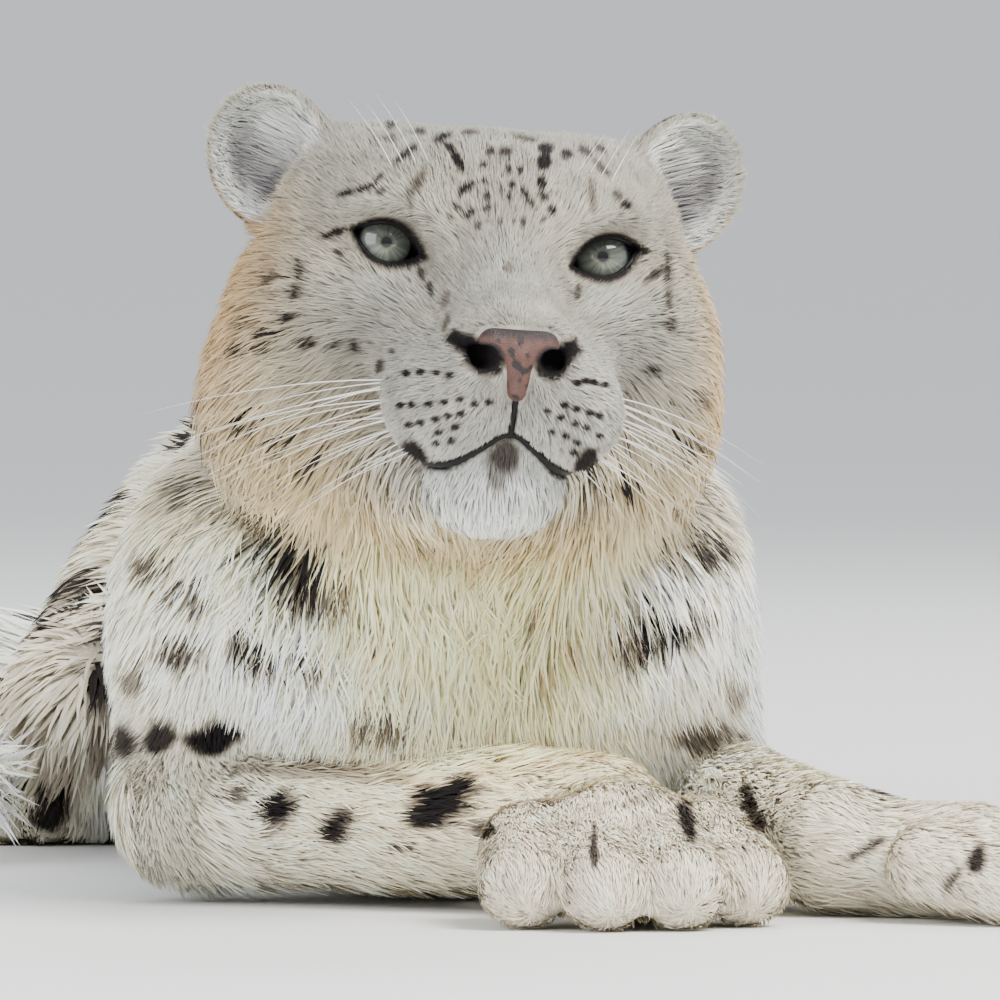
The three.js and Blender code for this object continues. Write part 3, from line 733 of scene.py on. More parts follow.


# Marks in picture places, by strength: x, y, length, width, angle in degrees. Most are the coat's own
# marks; those noted as painted shade or shadow are not.
FACE_MARKS = {
    1.0: [
        (544, 161, 13, 20, 0), (542, 183, 10, 13, 0), (294, 293, 15, 14, 0), (286, 317, 18, 10, -15),
        (305, 344, 19, 9, 8),
    ],
    0.95: [
        (457, 159, 27, 9, 65), (466, 188, 21, 9, -35), (469, 214, 14, 8, -25), (520, 170, 7, 10, 0),
        (524, 192, 11, 7, 60), (544, 196, 13, 9, 30), (552, 210, 11, 7, 60), (346, 193, 20, 6, -15),
        (364, 188, 20, 7, -18), (333, 233, 34, 8, -20), (299, 271, 24, 8, 86), (354, 347, 10, 12, 0),
        (243, 421, 34, 10, 3), (671, 325, 9, 14, 0), (653, 372, 16, 11, 0), (627, 481, 26, 13, 10),
    ],
    0.9: [
        (483, 164, 8, 7, 0), (485, 182, 7, 6, 0), (487, 195, 7, 9, 0), (487, 208, 10, 6, -50),
        (457, 206, 9, 7, 0), (512, 185, 7, 11, 0), (530, 202, 10, 7, 40), (546, 148, 16, 11, 0),
        (641, 250, 20, 8, 10), (336, 344, 12, 8, 20), (286, 439, 24, 17, -20), (413, 457, 34, 24, 60),
    ],
    0.85: [
        (490, 151, 11, 9, 0), (442, 137, 20, 8, -20), (378, 179, 16, 5, -50), (626, 205, 12, 10, 20),
        (264, 340, 34, 9, 80), (241, 348, 20, 8, 22), (586, 463, 34, 20, -60),
    ],
    0.8: [
        (509, 169, 6, 9, 0), (509, 197, 6, 8, 0), (567, 154, 12, 9, 20), (450, 148, 12, 7, 50),
        (405, 154, 30, 7, -42), (668, 270, 8, 40, 0), (633, 443, 18, 9, -15),
    ],
    0.75: [
        (430, 288, 7, 16, -10), (309, 465, 28, 10, 5),
    ],
    0.7: [
        (478, 225, 9, 6, -50), (544, 219, 7, 6, 0), (523, 222, 6, 10, 0), (505, 151, 14, 10, 0),
        (390, 124, 10, 9, 0), (420, 131, 12, 7, 0), (585, 150, 16, 8, 30), (338, 253, 11, 8, 30),
        (421, 272, 8, 10, 0), (578, 292, 7, 16, 8), (379, 366, 9, 14, 20), (669, 300, 8, 24, 0),
        (690, 445, 30, 12, -10), (655, 275, 22, 9, -30),
    ],
    0.62: [
        (503, 456, 30, 36, 0),
    ],
    0.6: [
        (450, 217, 7, 6, 0), (501, 189, 5, 9, 0), (535, 209, 6, 5, 0), (500, 222, 6, 7, 0),
        (618, 196, 14, 7, 50), (470, 132, 16, 6, 0), (525, 138, 22, 6, 10), (602, 168, 26, 7, 45),
        # (498, 545) is the shadow under the chin: painted shadow.
        (600, 148, 14, 8, 30), (269, 278, 16, 10, -40), (368, 343, 7, 6, 0), (498, 545, 30, 8, 0),
    ],
    0.5: [
        (455, 235, 6, 5, 0), (514, 221, 5, 7, 0), (418, 182, 32, 11, -60), (381, 191, 12, 9, 0),
        (391, 137, 9, 9, 0), (270, 294, 11, 8, 0), (392, 351, 8, 6, 0), (237, 323, 16, 5, 32),
        (321, 418, 18, 7, -10), (630, 392, 8, 8, 0), (700, 400, 12, 20, 0), (446, 322, 6, 20, 15),
    ],
    0.45: [
        (329, 321, 10, 5, 10),
    ],
    0.4: [
        (592, 196, 34, 8, 84), (445, 300, 8, 18, 20), (497, 480, 20, 22, 0),
    ],
    0.35: [
        (410, 200, 22, 7, 80), (508, 267, 9, 12, 0),
    ],
}
PAD_DOTS = [
    (406, 373), (420, 372), (436, 373), (449, 375), (400, 405), (411, 405), (429, 404), (444, 402),
    (460, 399), (474, 404), (489, 402), (408, 425), (420, 423), (435, 419), (447, 416), (460, 414),
    (438, 433), (455, 427), (451, 441), (436, 444), (577, 383), (586, 381), (595, 382), (605, 385),
    (565, 405), (577, 409), (590, 413), (600, 416), (548, 411), (561, 418), (576, 424), (586, 428),
    (600, 436), (552, 432), (566, 436), (577, 443), (574, 453),
]
FACE_MARKS[0.95] += [(x, y, 9, 6.5, -10 if x < 520 else 12) for x, y in PAD_DOTS]
COAT_MARKS = {
    1.0: [
        (306, 567, 92, 38, 25), (250, 640, 40, 34, 60), (290, 657, 58, 22, 12), (215, 738, 56, 36, -25),
        (659, 624, 98, 38, -12), (277, 806, 40, 34, -50), (440, 804, 76, 38, -25),
    ],
    0.95: [
        (336, 824, 40, 28, -40),
    ],
    0.9: [
        (262, 522, 62, 26, 40), (158, 737, 34, 30, -50), (691, 545, 78, 22, -8), (978, 857, 16, 30, 15),
    ],
    0.85: [
        # (122, 742) is a dark band where shoulder meets flank: painted shade.
        (188, 589, 38, 22, 10), (180, 645, 46, 28, 15), (122, 742, 24, 34, 0), (399, 848, 34, 8, 0),
        # (688, 820) is the shade in a cleft between toes: painted shade.
        (688, 820, 16, 38, -20), (868, 848, 44, 11, -30),
    ],
    0.8: [
        # (752, 806) is the shade in a cleft between toes: painted shade.
        (752, 806, 16, 44, -20),
    ],
    0.75: [
        # (594, 846) is the shade in the cleft between the middle toes: painted shade.
        (150, 558, 42, 28, 30), (375, 715, 56, 24, 10), (238, 793, 40, 12, -35), (594, 846, 8, 42, 0),
    ],
    0.7: [
        # (97, 755) is a dark band where shoulder meets flank: painted shade.
        (408, 530, 32, 16, 20), (195, 490, 40, 20, 40), (97, 755, 18, 34, 0), (704, 736, 64, 34, 0),
        (484, 830, 22, 18, 0), (950, 884, 30, 10, -50),
    ],
    0.6: [
        (354, 513, 30, 15, 10), (160, 460, 26, 18, 40), (137, 672, 30, 24, 60),
    ],
    0.55: [
        (535, 612, 26, 14, -60),
    ],
    0.5: [
        (735, 690, 26, 30, 0),
    ],
    0.45: [
        (537, 668, 28, 12, 30), (60, 770, 50, 26, 10),
    ],
    0.4: [
        (565, 640, 26, 12, -30), (20, 740, 60, 30, -20),
    ],
    0.35: [
        # A faint band along the top of the forearm under the chest: painted shadow.
        (320, 772, 190, 16, 2),
    ],
    0.3: [
        (640, 800, 40, 12, -20),
    ],
}

# Rosettes over the rest: spacing, radius and how open the ring is, by part of the body
seeds = np.random.default_rng(21)


def scatter(test, spacing):
    """Places on the skin, no two nearer than the spacing."""
    order = seeds.permutation(np.nonzero(test)[0])
    kept = []
    tree_points = np.empty((0, 3))
    for i in order:
        if not len(kept) or np.min(((tree_points - skin_points[i]) ** 2).sum(1)) > spacing**2:
            kept.append(i)
            tree_points = skin_points[kept]
    return kept


skin_x, skin_y, skin_z = skin_points.T
tail_near = np.min([np.linalg.norm(skin_points - s, axis=1) for s in tail_line], axis=0)
on_tail = (tail_near < 46) & ((skin_y > TAIL_BEHIND) | (skin_x < -200))
behind = (skin_y > TRUNK_FROM) & ~on_tail
on_trunk = behind & (skin_z > 70)
on_low = behind & (skin_z <= 70) & (skin_z > 14) & (np.abs(skin_x) > 60)
on_nape = (skin_y <= TRUNK_FROM) & (skin_y > -400) & (skin_z > 200) & (head_points[:, 1] > 70)
on_fore = (skin_y <= TRUNK_FROM) & (skin_z < 70) & (skin_z > 12)
ROSETTES = []
for test, spacing, radius, ring in (
    (on_trunk, 58, 23, 0.62),
    (on_low, 36, 11, 0.0),
    (on_nape, 34, 10, 0.0),
    (on_fore, 34, 9, 0.0),
    (on_tail & (skin_z > 30), 52, 21, 0.5),
):
    for i in scatter(test, spacing):
        ROSETTES.append((skin_points[i], skin_normals[i], lie[i], radius * seeds.uniform(0.8, 1.15), ring))


def rosettes_at(p, grain):
    cover = np.zeros(len(p))
    for centre, normal, way, radius, ring in ROSETTES:
        d = p - centre
        close = np.nonzero((np.abs(d) < radius * 1.7).all(1))[0]
        if not len(close):
            continue
        d = d[close]
        u = d @ way / (radius * 1.25)
        v = d @ np.cross(normal, way) / (radius * 0.9)
        r = np.sqrt(u * u + v * v) + 0.22 * grain[close]
        if ring:
            broken = 0.3 * np.sin(np.arctan2(v, u) * 3 + centre[0])
            band = held((0.34 - np.abs(r - 0.78)) / 0.16 - broken)
            inner = 0.3 * held((0.7 - r) / 0.2)
            mark = np.maximum(band, inner)
        else:
            mark = held((1.1 - r) / 0.35)
        facing = np.abs(d @ normal) < radius * 1.2
        cover[close] = np.maximum(cover[close], 0.93 * mark * facing)
    return cover


def coat_colour(p, n):
    """Scene-light colour of the coat at each point."""
    q = to_head(p)
    total = np.tile(np.array(PLAIN, float), (len(p), 1))
    weight = np.ones(len(p))
    head_share = held((NECK_TO - p[:, 1]) / NECK_FADE)
    for tones, place in ((HEAD_TONES, q), (BODY_TONES, p)):
        for centre, radii, tone, strength in tones:
            far = (((place - centre) / radii) ** 2).sum(1)
            w = strength * np.exp(-far)
            w = w * head_share if tones is HEAD_TONES else w
            total += w[:, None] * np.array(tone)
            weight += w
    tone = total / weight[:, None]
    tone *= (1 + 0.05 * waves(p, 26, 3) + 0.06 * head_share * waves(p, 7, 4))[:, None]
    face_share = head_share * held((q[:, 2] + 122) / 24)
    tone *= (1.2 - 0.08 * head_share - 0.29 * face_share)[:, None]
    grey = tone.mean(1, keepdims=True)
    tone = grey + (tone - grey) * (1.25 + 0.25 * head_share)[:, None]
    across, fall = photo_place(p)
    grain = waves(p, 7, 5)
    seen = held((-215 - p[:, 1]) / 30) * held((0.25 - n[:, 1]) / 0.3)
    low_left = (p[:, 0] < -120) & (p[:, 1] < 140) & (n[:, 1] < 0)
    on_head = (head_share > 0.5) & (q[:, 1] < 75) & (q[:, 2] > -112)
    face = 1.15 * spots_at(across, fall, FACE_MARKS, grain * 0.6) * seen
    coat = spots_at(across, fall, COAT_MARKS, waves(p, 13, 8)) * np.maximum(seen, low_left * 0.8)
    mark = np.minimum(np.where(on_head, face, coat), 1)
    mark = np.maximum(mark, rosettes_at(p, waves(p, 11, 9)) * (1 - seen))
    for side in (1, -1):
        rim = almond(q, side)
        _, _, front = slit_frame(q, side)
        by_eye = (front > -14) & (head_share > 0.5) & (q[:, 1] < 30)
        mark = np.maximum(mark, held((2.3 - rim) / 1.3) * by_eye)
        local = (q - sided(EAR_AT, side)) @ ear_turn(side)
        on_ear = held((8 - np.abs(ear_distance(q, side))) / 4) * (head_share > 0.5)
        behind = on_ear * held((local[:, 1] - 6) / 4) * (n[:, 1] > -0.1)
        mark = np.maximum(mark, 0.9 * behind * (np.linalg.norm(local[:, [0, 2]], axis=1) > 8))
        inside = on_ear * (ball((0, 0, 0), EAR_SIZE - (1, 1, 1))(local) < 0) * (n[:, 1] <= 0.1)
        # Inside the ear the hair darkens towards the deep of the cup, its lower part and its outer side:
        # partly the ear's own darker hair, partly painted shade in the hollow.
        depth = held(0.45 + side * local[:, 0] / 24 - local[:, 2] / 40)
        depth *= np.clip((local[:, 1] + 1) / 6, 0.15, 1)
        shade = EAR_HAIR * (1 - depth)[:, None] + EAR_DEEP * depth[:, None]
        tone = tone * (1 - inside[:, None]) + shade * inside[:, None]
        # Dark round the nostrils: painted shade in their hollows.
        nostril_shade = held((3.2 - nostril_distance(q, side)) / 1.6) * (q[:, 1] < -52)
        mark = np.maximum(mark, nostril_shade * (head_share > 0.5))
    corner = held((np.abs(q[:, 0]) - 12) / 18)
    lips = held((2.4 + 2.4 * corner - polyline_distance(q, mouth_path)) / 1.2)
    seam = polyline_distance(q, PHILTRUM, flat=True)
    lips = np.maximum(lips, held((1.5 - seam) / 0.7) * (q[:, 1] < -50))
    mark = np.maximum(mark, lips * (head_share > 0.5))
    dark = np.array((24, 20, 20)) + held(1 - mark)[:, None] * np.array((46, 32, 16))
    tone = tone * (1 - mark[:, None]) + dark * mark[:, None]
    return linear(np.clip(tone, 0, 255))


def set_inputs(node, values):
    for name, value in values.items():
        node.inputs[name].default_value = value


def principled(name, roughness, specular=0.3, colour=(0.8, 0.8, 0.8, 1)):
    """A material and its shader, with values that are the same all over."""
    material = bpy.data.materials.new(name)
    material.use_nodes = True
    shader = material.node_tree.nodes["Principled BSDF"]
    set_inputs(shader, {"Roughness": roughness, "Specular IOR Level": specular, "Base Color": colour})
    return material, shader


def painted(name, attribute, roughness, specular, grain_scale, grain_depth, bump=0.0):
    """A material that takes its colour from the mesh, with fine grain over it."""
    material, shader = principled(name, roughness, specular)
    nodes, link = material.node_tree.nodes, material.node_tree.links.new
    colour = nodes.new("ShaderNodeAttribute")
    colour.attribute_name = attribute
    place = nodes.new("ShaderNodeTexCoord")
    noise = nodes.new("ShaderNodeTexNoise")
    set_inputs(noise, {"Scale": grain_scale, "Detail": 3})
    link(place.outputs["Object"], noise.inputs["Vector"])
    level = nodes.new("ShaderNodeMapRange")
    set_inputs(level, {"To Min": 1 - grain_depth, "To Max": 1 + grain_depth})
    link(noise.outputs["Fac"], level.inputs["Value"])
    mix = nodes.new("ShaderNodeMix")
    mix.data_type = "RGBA"
    mix.blend_type = "MULTIPLY"
    mix.inputs["Factor"].default_value = 1
    link(colour.outputs["Color"], mix.inputs["A"])
    link(level.outputs["Result"], mix.inputs["B"])
    link(mix.outputs["Result"], shader.inputs["Base Color"])
    if bump:
        relief = nodes.new("ShaderNodeBump")
        set_inputs(relief, {"Strength": bump, "Distance": 0.001})
        link(noise.outputs["Fac"], relief.inputs["Height"])
        link(relief.outputs["Normal"], shader.inputs["Normal"])
    return material


fur_material = painted("fur", "coat", 0.75, 0.18, 900, 0.12)
skin_material = painted("skin", "coat", 0.85, 0.15, 700, 0.3, 0.5)

skin = mesh_object("skin", skin_points, skin_faces)
# The skin is painted a fifth darker than the coat: painted shade under the fur.
set_colour(skin, "coat", coat_colour(skin_points, skin_normals) * 0.8)
skin.data.materials.append(skin_material)

bpy.context.view_layer.objects.active = skin
skin.select_set(True)
bpy.ops.object.mode_set(mode="EDIT")
bpy.ops.mesh.select_all(action="SELECT")
bpy.ops.uv.smart_project(angle_limit=1.15, island_margin=0.002)
bpy.ops.object.mode_set(mode="OBJECT")
skin.data.uv_layers[0].name = "OFBake"
skin_uv = np.empty(len(skin.data.loops) * 2, np.float32)
skin.data.uv_layers[0].data.foreach_get("uv", skin_uv)
skin_uv = skin_uv.reshape(-1, 4, 2)

# Tufts: roots by area and coat length, closer together on what faces the camera
MOST_TUFTS = 285000
SHOWN_FACING = 0.35
corners = skin_points[skin_faces]
diagonals = np.cross(corners[:, 2] - corners[:, 0], corners[:, 3] - corners[:, 1])
area = 0.5 * np.linalg.norm(diagonals, axis=1)
middle = corners.mean(1)
face_fur = fur[skin_faces].mean(1)
face_normal = unit(skin_normals[skin_faces].mean(1))
density = 1.15 * (8 / face_fur) ** 1.15
shown = (face_normal[:, 1] < SHOWN_FACING) & (middle[:, 1] < SHOWN_TO)
density *= np.where(shown, np.where(face_fur > 20, 2.3, 1.5), 0.75)
density *= np.where((face_normal[:, 2] < -0.5) & (middle[:, 2] < 12), 0.15, 1)
mid_head = to_head(middle)
for side in (1, -1):
    _, _, front = slit_frame(mid_head, side)
    density[(almond(mid_head, side) < 1.2) & (front > -10) & (middle[:, 1] < -380)] = 0


def nose_pad(q):
    wide = limb((-10, -67, -35), (10, -67, -35), 5.6, 5.6)(q)
    column = limb((0, -69, -40), (0, -70, -53), 6.4, 3.6)(q)
    return melt(np.array([wide, column]), 1.8)


density[(nose_pad(mid_head) < 1.0) & (middle[:, 1] < -440)] = 0
for side in (1, -1):
    density[nostril_distance(mid_head, side) < 1.8] = 0
density[(polyline_distance(mid_head, mouth_path) < 2.4) & (middle[:, 1] < -400)] = 0
density[(polyline_distance(mid_head, PHILTRUM, flat=True) < 1.3) & (mid_head[:, 1] < -50)] = 0
wanted = area * density
wanted *= min(1, MOST_TUFTS / wanted.sum())
count = np.floor(wanted + rng.random(len(wanted))).astype(int)
face_of = np.repeat(np.arange(len(skin_faces)), count)
a, b = rng.random(len(face_of)), rng.random(len(face_of))
shares = np.stack([(1 - a) * (1 - b), a * (1 - b), a * b, (1 - a) * b], 1)


def on_skin(facts):
    """What the skin's corners hold, at each tuft's root."""
    picked = facts[skin_faces[face_of]]
    if picked.ndim == 2:
        return (picked * shares).sum(1)
    return (picked * shares[:, :, None]).sum(1)


root = on_skin(skin_points)
normal = unit(on_skin(skin_normals))
root_uv = (skin_uv[face_of] * shares[:, :, None]).sum(1)
length = on_skin(fur) * rng.uniform(0.72, 1.18, len(root))
height = on_skin(rise) * rng.uniform(0.55, 1.12, len(root))
way = tangent(on_skin(lie), normal)
woolly = np.exp(-(((root - (10, -345, 105)) / (75, 60, 60)) ** 2).sum(1))
swirl = (0.16 + 0.2 * woolly) * waves(root, 40, 12) + (0.14 + 0.3 * woolly) * waves(root, 14, 13)
aside = np.cross(normal, way)
way = tangent(way + aside * (swirl + rng.normal(0, 0.13, len(root)))[:, None], normal)
aside = np.cross(normal, way)

# Neighbours lean together into clumps of about this many.
CLUMP = 9
clump_count = max(len(root) // CLUMP, 1)
centres = rng.choice(len(root), clump_count, replace=False)
tips = root + way * length[:, None] * 0.9 + normal * height[:, None]
tree = kdtree.KDTree(clump_count)
for number, i in enumerate(centres):
    tree.insert(root[i], number)
tree.balance()
nearest = np.array([tree.find(r)[1] for r in root])
pull = tips[centres[nearest]] - tips
pull_length = np.linalg.norm(pull, axis=1, keepdims=True)
pull *= np.minimum(1, 0.5 * length[:, None] / np.maximum(pull_length, 1e-6))
pull *= (0.25 + 0.35 * rng.random(len(root)))[:, None]

width = 0.2 * length**0.62 * rng.uniform(0.7, 1.25, len(root))
width *= np.where((normal[:, 1] < SHOWN_FACING) & (root[:, 1] < SHOWN_TO), 0.72, 1.4)
tilt = rng.normal(0, 0.5, len(root))
blade_side = aside * np.cos(tilt)[:, None] + normal * np.sin(tilt)[:, None]
curl = (rng.normal(0, 0.06, len(root)) + 0.13 * waves(root, 26, 14) * (length > 25)) * length

# How far along the blade, and its width there as a share
STEPS = ((0.0, 0.75), (0.34, 1.0), (0.7, 0.68), (1.0, 0.0))
rows = []
for t, share in STEPS:
    stand = height * t**0.75 - 0.6 * (t == 0)
    spot = root + way * (length * 0.96 * t)[:, None] + normal * stand[:, None]
    spot = spot + pull * t**2 + aside * (curl * t**2)[:, None]
    if t > 0.5:
        # Long tufts follow the body instead of standing off it.
        off = skin_field(spot)
        spot = spot + normal * np.clip(height * t**0.75 - off, -0.6 * length, 0.6 * length)[:, None]
    spot[:, 2] = np.maximum(spot[:, 2], 0.6)
    half = blade_side * (width * share / 2)[:, None]
    rows += [spot - half, spot + half] if share else [spot]
blades = np.stack(rows, 1)
blades[:, :, 2] = np.maximum(blades[:, :, 2], 0.5)

visible = root + way * (length * 0.55)[:, None] + normal * (height * 0.7)[:, None]
tuft_colour = coat_colour(visible + rng.normal(0, 0.6, root.shape), normal)
tuft_colour *= rng.normal(1.0, 0.1, len(root)).clip(0.7, 1.3)[:, None]
# Darker at the root than at the tip: painted shade deep in the coat. Long tufts are painted lighter and
# keep less root shade, as painted light against the shade between them.
shade = np.array([0.62, 0.62, 0.9, 0.9, 1.02, 1.02, 1.08])
long_coat = held((length - 12) / 20)[:, None]
tuft_colour *= 1 + 0.28 * long_coat
shade = shade[None] * (1 - long_coat) + (0.5 + 0.5 * shade[None]) * long_coat
colours = tuft_colour[:, None, :] * shade[:, :, None]
close_up = np.nonzero(length < 16)[0]
# Short tufts take their colour part by part, with the same painted root shade.
for first, last in ((0, 2), (2, 4), (4, 6), (6, 7)):
    spot = blades[close_up, first:last].mean(1)
    uneven = rng.normal(1.0, 0.08, (len(close_up), 1, 1)).clip(0.75, 1.25)
    level = shade[close_up, first:last, None] * uneven
    colours[close_up, first:last] = coat_colour(spot, normal[close_up])[:, None] * level
colours = np.minimum(colours, 0.96)
blade_normal = unit(normal + 0.16 * blade_side * rng.normal(0, 1, len(root))[:, None] + 0.2 * way)

# Each tuft has seven corners and five triangles, and a patch of its own on the bake map.
TRIANGLES = np.array([(0, 3, 1), (0, 2, 3), (2, 5, 3), (2, 4, 5), (4, 6, 5)])
UV_PATCH = np.array([(-1, -1), (1, -1), (-0.8, -0.3), (0.8, -0.3), (-0.5, 0.4), (0.5, 0.4), (0, 1)])
UV_HALF = 0.0015
UV_MARGIN = 0.004
PIECE_TUFTS = 39000


def coat_piece(name, chosen):
    """One mesh of tufts, with its colours, normals and bake map."""
    n = len(chosen)
    points = blades[chosen].reshape(-1, 3)
    faces = (TRIANGLES[None] + 7 * np.arange(n)[:, None, None]).reshape(-1, 3)
    piece = mesh_object(name, points, faces)
    set_colour(piece, "coat", colours[chosen].reshape(-1, 3))
    low, high = root_uv[chosen].min(0), root_uv[chosen].max(0)
    place = UV_MARGIN + (1 - 2 * UV_MARGIN) * (root_uv[chosen] - low) / np.maximum(high - low, 1e-6)
    spread = (place[:, None] + UV_HALF * UV_PATCH[None]).reshape(-1, 2)
    layer = piece.data.uv_layers.new(name="OFBake")
    layer.data.foreach_set("uv", spread[faces.ravel()].astype(np.float32).ravel())
    piece.data.normals_split_custom_set_from_vertices(np.repeat(blade_normal[chosen], 7, axis=0))
    piece.data.materials.append(fur_material)
    return piece


root_head = to_head(root)
in_head = (root[:, 1] < -330) & (root_head[:, 2] > -118) & (root_head[:, 1] < 95) & (root[:, 2] > 130)
in_fore = ~in_head & (root[:, 1] < SHOWN_TO)
in_tail = (root[:, 1] > TAIL_BEHIND) | (root[:, 0] < -205)
in_body = ~in_head & ~in_fore & ~in_tail
groups = {"coat_head": in_head, "coat_fore": in_fore, "coat_tail": in_tail, "coat_body": in_body}
for group, test in groups.items():
    members = np.nonzero(test)[0]
    members = members[np.argsort(root[members, 1])]
    parts = max(1, math.ceil(len(members) / PIECE_TUFTS))
    for k, chunk in enumerate(np.array_split(members, parts)):
        coat_piece(f"{group}_{k + 1}", chunk)

flesh = [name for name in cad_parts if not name.startswith(("eye_", "nose"))]
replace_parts(skin, *flesh)


def ring_faces(rings, around):
    """Quads between rings of points."""
    faces = []
    for i in range(rings - 1):
        for j in range(around):
            a, b = i * around + j, i * around + (j + 1) % around
            faces.append((a, b, b + around, a + around))
    return faces


# Eyes: a ball with its iris and pupil painted by rings round the way it looks, in degrees from it
PUPIL = 8
INNER_IRIS = 13
IRIS = 48
IRIS_EDGE = 7


def eye_piece(name, side):
    gaze = unit(np.array([-0.06 - side * 0.02, -1.0, 0.02]))
    up = unit(np.cross(np.cross(gaze, (0, 0, 1)), gaze))
    right = np.cross(gaze, up)
    rings, around = 40, 48
    points, tones = [], []
    for i in range(rings + 1):
        lean = math.radians(180 * (i / rings) ** 1.25)
        bulge = 1 + 0.05 * max(0, math.cos(min(lean * 1.9, math.pi / 2)))
        for j in range(around):
            turn = 2 * math.pi * j / around
            ray = gaze * math.cos(lean) + (right * math.cos(turn) + up * math.sin(turn)) * math.sin(lean)
            points.append(sided(EYE_AT, side) + ray * EYE_RADIUS * bulge * 0.985)
            degrees = math.degrees(lean)
            streak = 1 + 0.12 * math.sin(turn * 17 + 2 * math.sin(turn * 5)) * (PUPIL < degrees < IRIS)
            # The iris and its rim are darker towards the top: painted shade from the upper lid.
            high = 0.78 - 0.22 * math.sin(turn)
            if degrees < PUPIL:
                tone = (6, 7, 8)
            elif degrees < INNER_IRIS:
                tone = np.array((102, 100, 76)) * streak * high
            elif degrees < IRIS - IRIS_EDGE:
                tone = np.array((112, 117, 106)) * streak * high
            elif degrees < IRIS:
                tone = np.array((74, 84, 78)) * high
            else:
                tone = (20, 19, 20)
            tones.append(linear(tone))
    piece = mesh_object(name, from_head(np.array(points)), ring_faces(rings + 1, around))
    set_colour(piece, "iris", np.array(tones))
    piece.data.materials.append(eye_material)
    return piece


eye_material = painted("eye", "iris", 0.08, 0.25, 2500, 0.08)
set_inputs(eye_material.node_tree.nodes["Principled BSDF"], {"Coat Weight": 0.6, "Coat Roughness": 0.02})
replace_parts(eye_piece("eyeball_right", -1), "eye_right")
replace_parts(eye_piece("eyeball_left", 1), "eye_left")


def tube(path, radii, around):
    """Points and faces of a closed tube along a path."""
    path = np.asarray(path, float)
    along = unit(np.gradient(path, axis=0))
    seed = np.array([0.3, 0.2, 1.0])
    first = unit(np.cross(along, seed))
    second = np.cross(along, first)
    angles = np.linspace(0, 2 * np.pi, around, endpoint=False)
    ring = first[:, None] * np.cos(angles)[None, :, None] + second[:, None] * np.sin(angles)[None, :, None]
    points = (path[:, None] + ring * np.asarray(radii)[:, None, None]).reshape(-1, 3)
    return points, ring_faces(len(path), around)


def joined_tubes(name, tubes, material):
    points, faces = [], []
    for tube_points, tube_faces in tubes:
        base = sum(len(p) for p in points)
        points.append(tube_points)
        faces += [[v + base for v in face] for face in tube_faces]
    piece = mesh_object(name, np.vstack(points), faces)
    piece.data.materials.append(material)
    return piece


# Dark wet rims round the eyes
rim_material, _ = principled("rim", 0.5, 0.2, (0.006, 0.0055, 0.006, 1))
rims = []
for side in (1, -1):
    w, h = EYE_SLIT["half_width"], EYE_SLIT["half_height"]
    angle = math.radians(side * EYE_SLIT["slant"])
    u = np.concatenate([np.linspace(-w, w, 20), np.linspace(w, -w, 20)[1:]])
    v = h * (1 - (u / w) ** 2) * np.concatenate([np.ones(20), -np.ones(19)])
    across = u * math.cos(angle) - v * math.sin(angle)
    above = u * math.sin(angle) + v * math.cos(angle)
    depth = np.sqrt(np.maximum((EYE_RADIUS + 0.8) ** 2 - across**2 - above**2, 4))
    ring = np.stack([across, -depth, above], 1) + sided(EYE_AT, side)
    rims.append(tube(from_head(ring), np.full(len(ring), 1.15), 8))
joined_tubes("lid_rims", rims, rim_material)


# The dark edge of the upper lip, and the seam above it
def plain_head(q):
    return joined(head_forms, q, HEAD_BLEND)


lip_line = smooth_path(MOUTH_LINE, 41)
lip_line = settle(plain_head, lip_line, 6, 6)
lip_share = np.abs(np.linspace(-1, 1, 41))
lip_line = lip_line - unit(slope(plain_head, lip_line)) * 0.7
seam_line = settle(plain_head, smooth_path(PHILTRUM, 9), 6, 6)
lips = [
    tube(from_head(lip_line), 1.3 + 0.8 * lip_share - 1.6 * np.maximum(lip_share - 0.85, 0) / 0.15, 8),
    tube(from_head(seam_line - unit(slope(plain_head, seam_line)) * 0.5), np.full(9, 1.3), 8),
]
joined_tubes("lips", lips, rim_material)

# The nose's bare pad, on its own finer net
nose_lines = [np.arange(-20, 20.1, 0.8), np.arange(-84, -50, 0.8), np.arange(-66, -24, 0.8)]


def nose_field(q):
    field = nose_pad(q)
    for side in (1, -1):
        field = carve(field, nostril_distance(q, side), 1.0)
    return field


nose_values = nose_field(crossings(nose_lines)).reshape([len(axis) for axis in nose_lines])
nose_points, nose_faces = surface_net(nose_values, nose_lines)
nose_points = settle(nose_field, nose_points, 2, 0.5)
nose = mesh_object("nose_pad", from_head(nose_points), nose_faces)
leather = np.array((84, 55, 47)) * (1 + 0.08 * waves(nose_points, 5, 31))[:, None]
speckle = held((waves(nose_points, 4.5, 33) - 0.42) / 0.12)
top_edge = held((nose_points[:, 2] + 34.0) / 3)
dark = np.maximum(speckle * 0.85, top_edge * 0.8)
# Black in and round the nostrils: painted shade in their hollows. The speckles and the dark top edge are
# the leather's own colour.
for side in (1, -1):
    dark = np.maximum(dark, held((1.8 - nostril_distance(nose_points, side)) / 1.2))
leather = leather * (1 - dark[:, None]) + np.array((24, 18, 19)) * dark[:, None]
set_colour(nose, "leather", linear(np.clip(leather, 0, 255)))
nose.data.materials.append(painted("leather", "leather", 0.5, 0.4, 1300, 0.15, 0.6))
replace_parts(nose, "nose")

